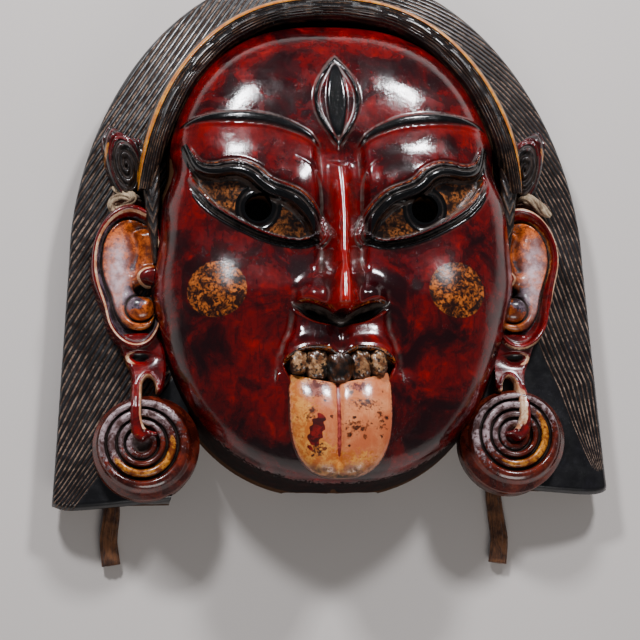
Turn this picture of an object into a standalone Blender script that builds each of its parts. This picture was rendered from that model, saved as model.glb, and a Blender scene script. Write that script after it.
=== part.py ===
"""A carved and lacquered wooden mask that lies on its back, with a soft tie on each side.

Metres. +X is the viewer's right, +Y the top of the head, +Z out of the face. The raw rim of the
hollow back rests on z = 0, and the origin is under the middle of the carving.
"""

import bpy
import bmesh
import numpy as np

# Driving dimensions of the carving
MASK_WIDTH = 0.400
MASK_LENGTH = 0.410
FACE_WIDTH = 0.254
CROWN_HEIGHT = 0.055
CHIN_LIFT = 0.015
FACE_EDGE_Z = 0.045
FACE_FRONT_Z = 0.098
WALL = 0.014
RIM_FLARE = 0.003
EYE_HOLE = 0.019
NECK_ARCH_WIDTH = 0.070
NECK_ARCH_DEPTH = 0.020

# The foot of the hair, the top of the crown, and the face between them
HAIR_FOOT_Y = -MASK_LENGTH / 2
CROWN_TOP_Y = MASK_LENGTH / 2
FACE_TOP_Y = CROWN_TOP_Y - CROWN_HEIGHT
FACE_BOTTOM_Y = HAIR_FOOT_Y + CHIN_LIFT

# Hair boards, diadem and the ornaments above the ears
HAIR_BACK_Z = 0.012
RIGHT_FOOT_LIFT = 0.010
HAIR_EDGE_Z = 0.027
HAIR_INNER_Z = 0.040
HAIR_FOOT_WIDTH = 0.096
HAIR_BOARD_LENGTH = 0.185
HAIR_BOARD_TAPER = 0.011
HAIR_UNDERLAP = 0.022
HAIR_GROOVE_PITCH = 0.014
HAIR_GROOVE_DEPTH = 0.0022
HAIR_GROOVE_LEAN = 0.9
DIADEM_WIDTH = 0.020
DIADEM_FRONT_Z = 0.068
DIADEM_GAP = 0.012
DIADEM_FOOT_TURN = 0.30
SCROLL_LENGTH = 0.064
SCROLL_WIDTH = 0.034
SCROLL_FRONT_Z = 0.050
SCROLL_CUT = 0.004

# Ears and ear discs
EAR_LENGTH = 0.096
EAR_WIDTH = 0.044
EAR_FRONT_Z = 0.052
EAR_BOWL_DEPTH = 0.017
EAR_ROLL = 0.010
LOBE_WIDTH = 0.011
DISC_RADIUS = 0.038
DISC_FRONT_Z = 0.058
DISC_SINK = 0.008
DISC_X = 0.132
DISC_LIFT = 0.031
DISC_STAGGER = 0.003
DISC_Y = FACE_BOTTOM_Y + DISC_LIFT

# Ties
TIE_DIAMETER = 0.0085
TIE_HOLE = 0.0115
TIE_HOLE_OUT = 0.012
TIE_LIE = TIE_DIAMETER / 2 + 0.0005
TIE_FOOT_X = {-1: 0.157, 1: 0.120}

# How far the ornaments are let into the hair board, and how far a cutter stands out of the wood
LET_IN = 0.005
OVERCUT = 0.010

# How many triangles each carved form may keep
FACE_TRIANGLES = 3240
HAIR_TRIANGLES = 1080
EAR_TRIANGLES = 330
SCROLL_TRIANGLES = 140

# The face is carved on a pattern of 254 x 340 mm, in millimetres, and follows the sizes above
PATTERN_WIDTH = 254.0
PATTERN_TOP = 150.0
PATTERN_BOTTOM = -190.0
PATTERN_WIDEST_Y = -30.0
PATTERN_EDGE = 45.0
PATTERN_FRONT = 98.0
SCROLL_LEVEL = 58.0
TIE_LEVEL = 19.0
EAR_LEVEL = -34.0

UPPER_LID = ((108, 48), (103, 34), (96, 28), (88, 26), (79, 27), (71, 26), (63, 21), (57, 15),
             (50, 11), (42, 8), (34, 4), (27, -2), (21, -9), (17, -19))
LOWER_LID = ((103, 21), (92, 7), (83, -1), (74, -7), (65, -12), (57, -16), (47, -19.5),
             (37, -21.5), (28, -22), (18, -19))
BROW = ((14, 45), (22, 53), (32, 58.5), (45, 63.5), (60, 66.5), (75, 68), (90, 68.5),
        (103, 67.5), (113, 64.5))
SMILE_FOLD = ((34, -60), (32, -74), (33, -88), (37, -98), (41, -107), (39, -122), (40, -150))
PUPIL = (59.0, 0.5)

COLOURS = {
    "mask": ((0.20, 0.012, 0.010, 1.0), 0.25),
    "tie_left": ((0.42, 0.30, 0.20, 1.0), 0.9),
    "tie_right": ((0.42, 0.30, 0.20, 1.0), 0.9),
}


def step(distance, width):
    """0 well outside, 1 well inside, with a smooth ramp of the given width."""
    share = np.clip(distance / width * 0.5 + 0.5, 0, 1)
    return share * share * (3 - 2 * share)


def hill(dx, dy, width, height):
    """A round hill of height 1 that fades over the given widths."""
    return np.exp(-((dx / width) ** 2) - (dy / height) ** 2)


def smooth_line(points, per_span=4):
    """A smooth curve through the points, as a denser list of points."""
    p = np.array(points, float)
    before = np.vstack([2 * p[0] - p[1], p[:-1]])
    after = np.vstack([p[1:], 2 * p[-1] - p[-2]])
    slope = (after - before) / 2
    t = np.linspace(0, 1, per_span, endpoint=False)[:, None, None]
    a, b, da, db = p[:-1], p[1:], slope[:-1], slope[1:]
    curve = (
        (2 * t**3 - 3 * t**2 + 1) * a
        + (t**3 - 2 * t**2 + t) * da
        + (3 * t**2 - 2 * t**3) * b
        + (t**3 - t**2) * db
    )
    dense = curve.transpose(1, 0, 2).reshape(-1, p.shape[1])
    return np.vstack([dense, p[-1]])


def from_line(x, y, points):
    """Signed distance to a smooth line through the points, positive on its right side, and the
    share of the line's length at which the nearest point lies."""
    line = smooth_line(points)
    best = np.full(x.shape, 1e9)
    signed = np.zeros(x.shape)
    share = np.zeros(x.shape)
    count = len(line) - 1
    for i in range(count):
        ax, ay = line[i]
        dx, dy = line[i + 1] - line[i]
        t = np.clip(((x - ax) * dx + (y - ay) * dy) / (dx * dx + dy * dy), 0, 1)
        away = np.hypot(x - ax - t * dx, y - ay - t * dy)
        side = np.sign((x - ax) * dy - (y - ay) * dx)
        near = away < best
        best = np.where(near, away, best)
        signed = np.where(near, side * away, signed)
        share = np.where(near, (i + t) / count, share)
    return signed, share


def oval(x, y):
    """How far out a point of the face lies: 0 in the middle, 1 on the outline of the face."""
    up = y > PATTERN_WIDEST_Y
    reach = np.where(up, PATTERN_TOP - PATTERN_WIDEST_Y, PATTERN_WIDEST_Y - PATTERN_BOTTOM)
    power = np.where(up, 2.6, 2.3)
    across = np.abs(x) / (PATTERN_WIDTH / 2)
    along = np.abs(y - PATTERN_WIDEST_Y) / reach
    return (across**power + along**power) ** (1 / power)


def half_width(y):
    """Half the face's width at a height of the pattern."""
    up = y > PATTERN_WIDEST_Y
    reach = np.where(up, PATTERN_TOP - PATTERN_WIDEST_Y, PATTERN_WIDEST_Y - PATTERN_BOTTOM)
    power = np.where(up, 2.6, 2.3)
    along = np.clip(np.abs(y - PATTERN_WIDEST_Y) / reach, 0, 1)
    return PATTERN_WIDTH / 2 * (1 - along**power) ** (1 / power)


def carve_nose(x, y):
    """A narrow ridge between two sunk planes, with flared wings and hollow nostrils."""
    side = np.abs(x)
    down = np.clip((33 - y) / 105, 0, 1)
    sunk = -7 * step(17 - side, 3) * step(y + 44, 10) * step(48 - y, 8)
    ridge = (5 + 28 * down) * np.exp(-((side / (6 + 4.5 * down)) ** 2))
    ridge *= step(33 - y, 3) * step(y + 79, 5)
    wings = 13 * hill(side - 20, y + 66, 11, 13) * step(y + 78, 5)
    turned = (y + 76) - 0.35 * (side - 18)
    nostril = -12 * step(1 - np.hypot((side - 18) / 12, turned / 4.5), 0.5)
    return sunk + ridge + wings + nostril


def lip_edge(side):
    """The upper lip's lower edge, bowed down in the middle and at the corners."""
    return -103 - 5 * np.exp(-((side / 7) ** 2)) - 8 * (np.clip(side - 20, 0, None) / 18) ** 2


def tongue_top(side):
    """Where the tongue comes out from under the teeth."""
    return -125 + 8 * (side / 36) ** 2


def carve_mouth(x, y, z):
    """Upper lip, a row of teeth in a recess, and a long tongue that lies down over the chin."""
    side = np.abs(x)
    lip, top = lip_edge(side), tongue_top(side)
    inside = step(38 - side, 2)
    z = z + 4 * hill(x, y + 96, 34, 15)
    z = z + 2.5 * inside * np.exp(-(((y - lip - 2.5) / 2.6) ** 2))
    gap = inside * step(lip - y, 1.5) * step(y - top + 3, 3)
    tooth = np.sqrt(np.clip(1 - ((side % 12 - 6) / 6) ** 2, 0, 1))
    z = z - gap * (10 - 5 * tooth)
    narrow = np.clip(-140 - y, 0, None) / 50
    inset = 36 * (1 - ((side / 36) ** 2.6 + narrow**2.6) ** (1 / 2.6))
    tongue = 106 - 8 * np.clip((-125 - y) / 65, 0, 1) - 3 * (side / 36) ** 2
    tongue = tongue - 2.2 * np.exp(-((x / 2.2) ** 2)) - 6 * (1 - step(inset - 3, 5))
    return z + (tongue - z) * step(inset, 1.5) * step(top - y, 2)


def carve_eyes(x, y):
    """Eyeballs sunk between a thick upper lid and a thinner lower one."""
    side = np.abs(x)
    above, along = from_line(side, y, UPPER_LID)
    over, _ = from_line(side, y, LOWER_LID)
    lid = 3.5 * np.exp(-((above / 4.2) ** 4)) * step(along - 0.03, 0.06)
    groove = -1.5 * np.exp(-(((above - 6.5) / 1.6) ** 2))
    opened = step(-above - 3.5, 1.5) * step(over, 1.5) * step(side - 19, 3) * step(102 - side, 5)
    ball = opened * (-9 + 6 * hill(side - PUPIL[0], y - PUPIL[1], 24, 15))
    rim = 1.6 * np.exp(-(((over + 3) / 2.2) ** 2)) - 2 * np.exp(-(((over + 8) / 2) ** 2))
    return lid + groove + ball + rim


def carve_brows(x, y):
    """Raised crescent brows with a thin ridge below each."""
    away, along = from_line(np.abs(x), y, BROW)
    half = 3.4 * np.sin(np.pi * np.clip(along, 0.001, 0.999)) ** 0.6
    ends = step(along - 0.01, 0.02) * step(0.99 - along, 0.02)
    band = 3.4 * step(half - np.abs(away), 1.5)
    ridge = 1.5 * np.exp(-(((away - half - 4) / 2) ** 2))
    return ends * (band + ridge)


def carve_third_eye(x, y):
    """An upright leaf over the nose with a raised edge and a raised heart."""
    up = np.clip((y - 47) / 66, 0, 1)
    half = 15 * np.sin(np.pi * up) ** 0.9
    edge = 2.2 * np.exp(-(((np.abs(x) - half) / 2.2) ** 2)) * step(y - 45, 4) * step(115 - y, 4)
    heart = 1.8 * step(half * 0.45 - np.abs(x), 2)
    return edge + heart


def face_relief(x, y):
    """The height of the carved face over its rim, on the pattern."""
    side = np.abs(x)
    out = np.clip(oval(x, y), 0, 1)
    z = PATTERN_EDGE + (PATTERN_FRONT - PATTERN_EDGE) * np.sqrt(1 - out**4)
    z = z - 12 * np.clip((y - 90) / 60, 0, 1) ** 2 * (1 - out**6)
    keep = 1 - out**8
    z = z + keep * 7 * hill(side - 64, y + 52, 34, 34)
    z = z + keep * 7 * hill(x, y + 168, 48, 28)
    z = z + keep * 5 * hill(side - 62, y - 42, 46, 15)
    fold, _ = from_line(side, y, SMILE_FOLD)
    z = z - 4.5 * keep * np.exp(-((fold / 3.5) ** 2))
    z = z + keep * (carve_nose(x, y) + carve_eyes(x, y) + carve_brows(x, y))
    z = z + keep * carve_third_eye(x, y)
    return carve_mouth(x, y, z)


def in_metres(x, y, z):
    """Pattern millimetres to metres of the real face."""
    wide = FACE_WIDTH / PATTERN_WIDTH
    tall = (FACE_TOP_Y - FACE_BOTTOM_Y) / (PATTERN_TOP - PATTERN_BOTTOM)
    deep = (FACE_FRONT_Z - FACE_EDGE_Z) / (PATTERN_FRONT - PATTERN_EDGE)
    return (
        x * wide,
        FACE_BOTTOM_Y + (y - PATTERN_BOTTOM) * tall,
        FACE_EDGE_Z + (z - PATTERN_EDGE) * deep,
    )


def add_object(name, vertices, faces, collection):
    mesh = bpy.data.meshes.new(name)
    mesh.from_pydata([tuple(v) for v in vertices], [], faces)
    mesh.validate()
    thing = bpy.data.objects.new(name, mesh)
    collection.objects.link(thing)
    return thing


def turn_out(thing):
    """Points every face outwards."""
    work = bmesh.new()
    work.from_mesh(thing.data)
    bmesh.ops.remove_doubles(work, verts=work.verts, dist=1e-6)
    bmesh.ops.recalc_face_normals(work, faces=work.faces)
    if work.calc_volume(signed=True) < 0:
        bmesh.ops.reverse_faces(work, faces=work.faces)
    work.to_mesh(thing.data)
    work.free()


def thin_to(thing, triangles):
    """Merges faces where the form is calm, down to about the given number of triangles."""
    now = sum(len(face.vertices) - 2 for face in thing.data.polygons)
    thin = thing.modifiers.new("thin", "DECIMATE")
    thin.ratio = min(1.0, triangles / now)
    thin.use_collapse_triangulate = True


def closed_rows(rows):
    """The faces of a body whose rows of points are closed loops, with both ends capped."""
    count, around = rows.shape[:2]
    i, j = np.meshgrid(np.arange(count - 1), np.arange(around), indexing="ij")
    k = (j + 1) % around
    quads = np.stack([i * around + j, i * around + k, (i + 1) * around + k, (i + 1) * around + j], -1)
    first = list(range(around))[::-1]
    last = list(range((count - 1) * around, count * around))
    return quads.reshape(-1, 4).tolist() + [first, last]


def loft(name, rows, collection):
    thing = add_object(name, rows.reshape(-1, 3), closed_rows(rows), collection)
    turn_out(thing)
    return thing


def dome(name, outline, height, edge_z, foot_z, flare, rows, columns, collection):
    """A solid under a carved surface: rows of points from side to side, a wall and a flat foot."""
    turn = np.linspace(-np.pi / 2, np.pi / 2, rows)
    middle, up, down = outline["middle"], outline["up"], outline["down"]
    y = middle + np.sin(turn) * np.where(turn > 0, up, down)
    y = y[:, None] * np.ones(columns)
    x = outline["half"](y) * np.linspace(-1, 1, columns)[None, :]
    top = np.stack(outline["place"](x, y, height(x, y)), -1)
    top[:, [0, -1], 2] = edge_z
    top[[0, -1], :, 2] = edge_z
    centre = np.array([0, outline["place"](0, middle, 0)[1], 0])
    left, right = top[:, :1], top[:, -1:]

    def foot(edge):
        outward = edge - centre
        outward[..., 2] = 0
        low = edge + outward * (flare / np.linalg.norm(outward, axis=-1, keepdims=True))
        low[..., 2] = foot_z
        return low

    loops = np.concatenate([foot(left), top, foot(right)], axis=1)
    return loft(name, loops, collection)


def add_face(cutters):
    outline = {
        "middle": PATTERN_WIDEST_Y,
        "up": PATTERN_TOP - PATTERN_WIDEST_Y - 0.4,
        "down": PATTERN_WIDEST_Y - PATTERN_BOTTOM - 0.4,
        "half": half_width,
        "place": in_metres,
    }
    face = dome("mask", outline, face_relief, FACE_EDGE_Z, 0.0, RIM_FLARE, 190, 131, cutters)
    thin_to(face, FACE_TRIANGLES)
    return face


def add_hollow(cutters):
    """The smooth bowl behind the face, a wall's thickness inside it."""
    wide, low, high = FACE_WIDTH / 2 - WALL, FACE_BOTTOM_Y + WALL, FACE_TOP_Y - WALL
    middle = (low + high) / 2
    tall = (high - low) / 2

    def half(y):
        return wide * (1 - np.clip(np.abs(y - middle) / tall, 0, 1) ** 2.4) ** (1 / 2.4)

    def height(x, y):
        out = (np.abs(x / wide) ** 2.4 + np.abs((y - middle) / tall) ** 2.4) ** (1 / 2.4)
        deep = FACE_FRONT_Z - WALL - FACE_EDGE_Z / 2
        return FACE_EDGE_Z / 2 + deep * np.sqrt(np.clip(1 - out**2.6, 0, 1))

    outline = {
        "middle": middle,
        "up": tall * 0.998,
        "down": tall * 0.998,
        "half": half,
        "place": lambda x, y, z: (x, y, z),
    }
    dome("hollow", outline, height, FACE_EDGE_Z / 2, -OVERCUT, 0.0, 17, 13, cutters)


def outer_hair(share):
    """The outer edge of the hair, from the right foot (0) up to the top of the crown (1)."""
    foot = np.array([MASK_WIDTH / 2, HAIR_FOOT_Y])
    shoulder = foot + np.array([-HAIR_BOARD_TAPER, HAIR_BOARD_LENGTH])
    bend = 0.58
    low = np.clip(share / bend, 0, 1)[:, None]
    straight = foot + (shoulder - foot) * low
    turn = np.clip((share - bend) / (1 - bend), 0, 1) * np.pi / 2
    rise = CROWN_TOP_Y - shoulder[1]
    arc = np.stack([shoulder[0] * np.cos(turn) ** 0.92, shoulder[1] + rise * np.sin(turn) ** 1.12], 1)
    return np.where(share[:, None] < bend, straight, arc)


def inner_hair(share):
    """The inner edge of the hair, hidden under the face except beside the chin."""
    foot = np.array([MASK_WIDTH / 2 - HAIR_FOOT_WIDTH, HAIR_FOOT_Y])
    knee = foot + np.array([0, CHIN_LIFT + 2 * HAIR_UNDERLAP])
    bend = 0.30
    low = np.clip(share / bend, 0, 1)[:, None]
    straight = foot + (knee - foot) * low
    turn = np.clip((share - bend) / (1 - bend), 0, 1) * np.pi / 2
    rise = FACE_TOP_Y - HAIR_UNDERLAP - knee[1]
    arc = np.stack([knee[0] * np.cos(turn) ** 0.7, knee[1] + rise * np.sin(turn)], 1)
    return np.where(share[:, None] < bend, straight, arc)


def add_hair(cutters):
    """One slab behind the face: two grooved boards that join over the top of the head."""
    along = np.linspace(0, 1, 200)
    across = np.linspace(0, 1, 44)
    outer, inner = outer_hair(along), inner_hair(along)
    half = inner[:, None] + (outer - inner)[:, None] * across[None, :, None]
    slant = half[..., 1] * np.cos(HAIR_GROOVE_LEAN) + half[..., 0] * np.sin(HAIR_GROOVE_LEAN)
    comb = np.abs((slant / HAIR_GROOVE_PITCH) % 1 - 0.5) * 2
    inside = (across > 0) & (across < 1)
    z = HAIR_INNER_Z + (HAIR_EDGE_Z - HAIR_INNER_Z) * across[None, :] ** 1.5
    z = z - HAIR_GROOVE_DEPTH * (1 - comb) * inside
    top = np.concatenate([half, z[..., None]], -1)
    edge = top[:, [-1, 0]].copy()
    edge[..., 2] = HAIR_BACK_Z
    right = np.concatenate([top, edge], axis=1)
    left = right[::-1][1:].copy()
    left[..., 0] *= -1
    right[..., 1] += RIGHT_FOOT_LIFT * np.clip(2 * right[..., 1] / HAIR_FOOT_Y - 1, 0, 1)
    thin_to(loft("hair", np.concatenate([right, left]), cutters), HAIR_TRIANGLES)


def swept(name, path, widths, heights, collection, sides=8):
    """A round-sided band that follows a path; widths lie across it and heights along +Z."""
    path = np.array(path, float)
    ahead = np.gradient(path, axis=0)
    ahead /= np.linalg.norm(ahead, axis=1, keepdims=True)
    across = np.cross(ahead, [0, 0, 1.0])
    across /= np.linalg.norm(across, axis=1, keepdims=True)
    over = np.cross(across, ahead)
    turn = np.linspace(0, 2 * np.pi, sides, endpoint=False)
    c = np.sign(np.cos(turn)) * np.abs(np.cos(turn)) ** 0.7
    s = np.sign(np.sin(turn)) * np.abs(np.sin(turn)) ** 0.7
    rows = (
        path[:, None]
        + across[:, None] * (c[None, :, None] * np.array(widths)[:, None, None] / 2)
        + over[:, None] * (s[None, :, None] * np.array(heights)[:, None, None] / 2)
    )
    return loft(name, rows, collection)


def add_diadem(cutters):
    """A plain rounded band over the combed hair, a gap outside the outline of the face."""
    count = 21
    turn = np.linspace(DIADEM_FOOT_TURN, np.pi - DIADEM_FOOT_TURN, count)
    widest = in_metres(0, PATTERN_WIDEST_Y, 0)[1]
    reach = FACE_TOP_Y + DIADEM_GAP - widest
    wide = FACE_WIDTH / 2 + DIADEM_GAP
    x = wide * np.sign(np.cos(turn)) * np.abs(np.cos(turn)) ** 0.85
    y = widest + reach * np.sin(turn) ** 0.9
    thick = DIADEM_FRONT_Z - HAIR_BACK_Z - LET_IN
    z = np.full_like(x, DIADEM_FRONT_Z - thick / 2)
    ends = 0.55 + 0.45 * np.sin(np.linspace(0.02, np.pi - 0.02, count)) ** 0.3
    path = np.stack([x, y, z], 1)
    swept("diadem", path, DIADEM_WIDTH * ends, np.full(count, thick), cutters)


def relief_disc(name, centre, long, wide, lean, foot_z, height, around, rings, collection):
    """A star-shaped form with a carved top: height gives z from the ring share and the angle."""
    turn = np.linspace(0, 2 * np.pi, around, endpoint=False)
    share = np.linspace(1, 0.04, rings)
    a, r = np.meshgrid(turn, share)
    x, y = r * wide / 2 * np.cos(a), r * long / 2 * np.sin(a)
    px = centre[0] + x * np.cos(lean) - y * np.sin(lean)
    py = centre[1] + x * np.sin(lean) + y * np.cos(lean)
    top = np.stack([px, py, height(r, a, x, y)], -1)
    foot = top[:1].copy()
    foot[..., 2] = foot_z
    return loft(name, np.concatenate([foot, top]), collection)


def ear_height(side):
    def height(r, a, x, y):
        roll = np.exp(-(((r - 0.84) / 0.13) ** 2))
        bowl = step(0.66 - r, 0.24)
        z = EAR_FRONT_Z - EAR_ROLL + EAR_ROLL * roll - EAR_BOWL_DEPTH * 0.55 * bowl
        fold = np.exp(-(((r - 0.42) / 0.10) ** 2)) * step(np.sin(a + 0.4), 0.6)
        inner = x * -side
        tragus = hill(inner - EAR_WIDTH * 0.34, y + EAR_LENGTH * 0.10, EAR_WIDTH * 0.16, EAR_WIDTH * 0.18)
        return z + EAR_ROLL * (0.5 * fold + 0.9 * tragus)

    return height


def add_ear(side, name, cutters):
    """An upright ear whose lobe runs down to the middle of the disc and hooks over it."""
    x = side * (FACE_WIDTH / 2 + EAR_WIDTH / 2)
    y = in_metres(0, EAR_LEVEL, 0)[1]
    ear = relief_disc(
        name, (x, y), EAR_LENGTH, EAR_WIDTH, side * 0.06, HAIR_BACK_Z + LET_IN, ear_height(side),
        40, 14, cutters,
    )
    thin_to(ear, EAR_TRIANGLES)
    low, wide, disc = y - EAR_LENGTH / 2, side * LOBE_WIDTH, side * DISC_X
    rim = DISC_Y + DISC_RADIUS * 0.80
    hang = low - rim
    lobe = smooth_line(
        (
            (x + wide * 0.36, low + EAR_LENGTH * 0.12, EAR_FRONT_Z - EAR_ROLL),
            (x, low - hang * 0.165, EAR_FRONT_Z - EAR_ROLL * 0.6),
            (x - wide * 0.55, low - hang * 0.556, EAR_FRONT_Z),
            (disc + wide * 0.73, rim, DISC_FRONT_Z - LOBE_WIDTH * 0.1),
            (disc + wide * 0.64, DISC_Y + DISC_RADIUS * 0.21, DISC_FRONT_Z + LOBE_WIDTH * 0.1),
            (disc, DISC_Y + DISC_RADIUS * 0.03, DISC_FRONT_Z - LOBE_WIDTH * 0.1),
            (disc - wide * 0.90, DISC_Y + DISC_RADIUS * 0.08, DISC_FRONT_Z - LOBE_WIDTH * 0.36),
        ),
        2,
    )
    along = np.linspace(0, 1, len(lobe))
    widths = LOBE_WIDTH * np.interp(along, [0, 0.3, 0.8, 1], [1.9, 1.3, 1, 0.7])
    heights = LOBE_WIDTH * np.interp(along, [0, 0.5, 1], [2.4, 1.6, 1.1])
    swept(name + "_lobe", lobe, widths, heights, cutters)
    spur = smooth_line(
        (
            (x, low + EAR_LENGTH * 0.04, EAR_FRONT_Z - EAR_ROLL * 1.4),
            (x - wide * 1.27, low - hang * 0.165, EAR_FRONT_Z - EAR_ROLL * 1.2),
            (x - wide * 2.00, low - hang * 0.474, EAR_FRONT_Z - EAR_ROLL * 1.4),
            (x - wide * 2.09, low - hang * 0.783, EAR_FRONT_Z - EAR_ROLL * 1.8),
        ),
        2,
    )
    along = np.linspace(0, 1, len(spur))
    widths, heights = LOBE_WIDTH * (1.45 - 0.9 * along), LOBE_WIDTH * (2.0 - 0.2 * along)
    swept(name + "_spur", spur, widths, heights, cutters)


def add_scroll(side, name, cutters):
    """A leaning leaf beside the diadem with one spiral turn cut into it."""

    def height(r, a, x, y):
        turned = a if side > 0 else np.pi - a
        coil = 0.5 - 0.5 * np.cos(2 * np.pi * (1.6 * r - turned / (2 * np.pi)))
        return SCROLL_FRONT_Z - SCROLL_CUT * (2 * r**3 + coil * (1 - r**6))

    x = side * (FACE_WIDTH / 2 + DIADEM_GAP + DIADEM_WIDTH / 2)
    centre = (x, in_metres(0, SCROLL_LEVEL, 0)[1])
    scroll = relief_disc(
        name, centre, SCROLL_LENGTH, SCROLL_WIDTH, -side * 0.22, HAIR_BACK_Z + LET_IN, height,
        32, 12, cutters,
    )
    thin_to(scroll, SCROLL_TRIANGLES)


def add_disc(side, name, cutters):
    """A turned ear disc: a rounded drum with three raised rings round a sunk middle."""
    sinks = (
        (0.0, 1.0), (0.38, 1.0), (0.47, 0.25), (0.54, 0.75), (0.62, 0.12), (0.70, 0.62),
        (0.79, 0.0), (0.87, 0.0), (0.96, 1.25), (1.0, 2.75),
    )
    mesh = bpy.data.meshes.new(name)
    points = [(share * DISC_RADIUS, 0, DISC_FRONT_Z - sink * DISC_SINK) for share, sink in sinks]
    points += [(DISC_RADIUS, 0, HAIR_BACK_Z + LET_IN), (0, 0, HAIR_BACK_Z + LET_IN)]
    mesh.from_pydata(points, [(i, i + 1) for i in range(len(points) - 1)], [])
    disc = bpy.data.objects.new(name, mesh)
    disc.location = (side * DISC_X, DISC_Y + side * DISC_STAGGER, 0)
    cutters.objects.link(disc)
    screw = disc.modifiers.new("turned", "SCREW")
    screw.steps = screw.render_steps = 24
    screw.use_merge_vertices = True
    screw.merge_threshold = 0.00005


def add_cylinder(name, centre, diameter, low, high, cutters):
    work = bmesh.new()
    bmesh.ops.create_cone(
        work, cap_ends=True, segments=24, radius1=diameter / 2, radius2=diameter / 2,
        depth=high - low,
    )
    bmesh.ops.translate(work, verts=work.verts, vec=(centre[0], centre[1], (low + high) / 2))
    mesh = bpy.data.meshes.new(name)
    work.to_mesh(mesh)
    work.free()
    cutters.objects.link(bpy.data.objects.new(name, mesh))


def add_neck_arch(cutters):
    """A round-topped notch in the back rim under the chin."""
    turn = np.linspace(0, np.pi, 13)
    x = NECK_ARCH_WIDTH / 2 * np.cos(turn)
    z = NECK_ARCH_DEPTH * np.sin(turn)
    ring = np.stack([x, np.zeros_like(x), z], 1)
    ring = np.vstack([ring, [[x[-1], 0, -OVERCUT], [x[0], 0, -OVERCUT]]])
    ends = np.array([FACE_BOTTOM_Y - OVERCUT, FACE_BOTTOM_Y + 4 * WALL])
    rows = ring[None] + ends[:, None, None] * [0, 1, 0]
    loft("neck_arch", rows, cutters)


def tie_hole(side):
    """Where the tie passes through the hair board, between the ear and the scroll."""
    return np.array([side * (FACE_WIDTH / 2 + TIE_HOLE_OUT), in_metres(0, TIE_LEVEL, 0)[1]])


def add_tie(side, name, collection):
    """A soft tie: loose in front of its hole, through the board, and down behind the hair."""
    x, y = tie_hole(side)
    lie = TIE_LIE
    foot = side * TIE_FOOT_X[side]
    route = [
        (x + side * 0.0210, y - 0.0025, HAIR_INNER_Z - 0.0030),
        (x + side * 0.0130, y - 0.0005, HAIR_INNER_Z - 0.0008),
        (x + side * 0.0045, y, HAIR_INNER_Z + 0.0015),
        (x - side * 0.0005, y, HAIR_INNER_Z - 0.0045),
        (x - side * 0.0002, y, HAIR_BACK_Z + 0.0120),
        (x, y, HAIR_BACK_Z + 0.0035),
        (x, y - 0.0025, lie + 0.0040),
        (x + side * 0.0002, y - 0.0100, lie),
        (x, y - 0.040, lie),
        (x * 0.9 + foot * 0.1, y - 0.095, lie),
        (x * 0.35 + foot * 0.65, y - 0.150, lie),
        (foot, y - 0.195, lie),
        (foot + side * 0.001, HAIR_FOOT_Y, lie),
        (foot + side * 0.003, HAIR_FOOT_Y - 0.018, lie),
        (foot + side * 0.001, HAIR_FOOT_Y - 0.036, lie),
    ]
    line = smooth_line(route, 2)
    curve = bpy.data.curves.new(name, "CURVE")
    curve.dimensions = "3D"
    curve.bevel_depth = TIE_DIAMETER / 2
    curve.bevel_resolution = 1
    curve.use_fill_caps = True
    spline = curve.splines.new("POLY")
    spline.points.add(len(line) - 1)
    for point, place in zip(spline.points, line):
        point.co = (*place, 1)
    tie = bpy.data.objects.new(name, curve)
    collection.objects.link(tie)
    return tie


def paint(thing, name):
    colour, rough = COLOURS[name]
    material = bpy.data.materials.new(name)
    material.use_nodes = True
    shader = material.node_tree.nodes["Principled BSDF"]
    shader.inputs["Base Color"].default_value = colour
    shader.inputs["Roughness"].default_value = rough
    thing.data.materials.append(material)


def combine(mask, others, operation):
    """Joins or cuts all solids of a collection in one exact step, so that no rounding adds up."""
    joined = mask.modifiers.new(others.name, "BOOLEAN")
    joined.operation = operation
    joined.solver = "EXACT"
    joined.operand_type = "COLLECTION"
    joined.collection = others
    for other in others.objects:
        other.hide_render = True
        other.display_type = "WIRE"


def build():
    for thing in list(bpy.data.objects):
        bpy.data.objects.remove(thing)
    parts = bpy.data.collections.new("lacquered_mask")
    cutters = bpy.data.collections.new("cutters")
    for collection in (parts, cutters):
        bpy.context.scene.collection.children.link(collection)
    added = bpy.data.collections.new("added_wood")
    holes = bpy.data.collections.new("cut_away")
    for collection in (added, holes):
        cutters.children.link(collection)

    mask = add_face(parts)
    add_hair(added)
    add_diadem(added)
    add_hollow(holes)
    add_neck_arch(holes)
    for side, end in ((-1, "left"), (1, "right")):
        add_ear(side, "ear_" + end, added)
        add_scroll(side, "scroll_" + end, added)
        add_disc(side, "disc_" + end, added)
        eye = in_metres(side * PUPIL[0], PUPIL[1], 0)
        top = FACE_FRONT_Z + OVERCUT
        add_cylinder("eye_hole_" + end, eye, EYE_HOLE, FACE_EDGE_Z, top, holes)
        add_cylinder("tie_hole_" + end, tie_hole(side), TIE_HOLE, -OVERCUT, top, holes)
        paint(add_tie(side, "tie_" + end, parts), "tie_" + end)
    combine(mask, added, "UNION")
    combine(mask, holes, "DIFFERENCE")
    paint(mask, "mask")


build()
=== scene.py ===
import bpy
import numpy as np
from mathutils import Matrix, Vector


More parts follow.
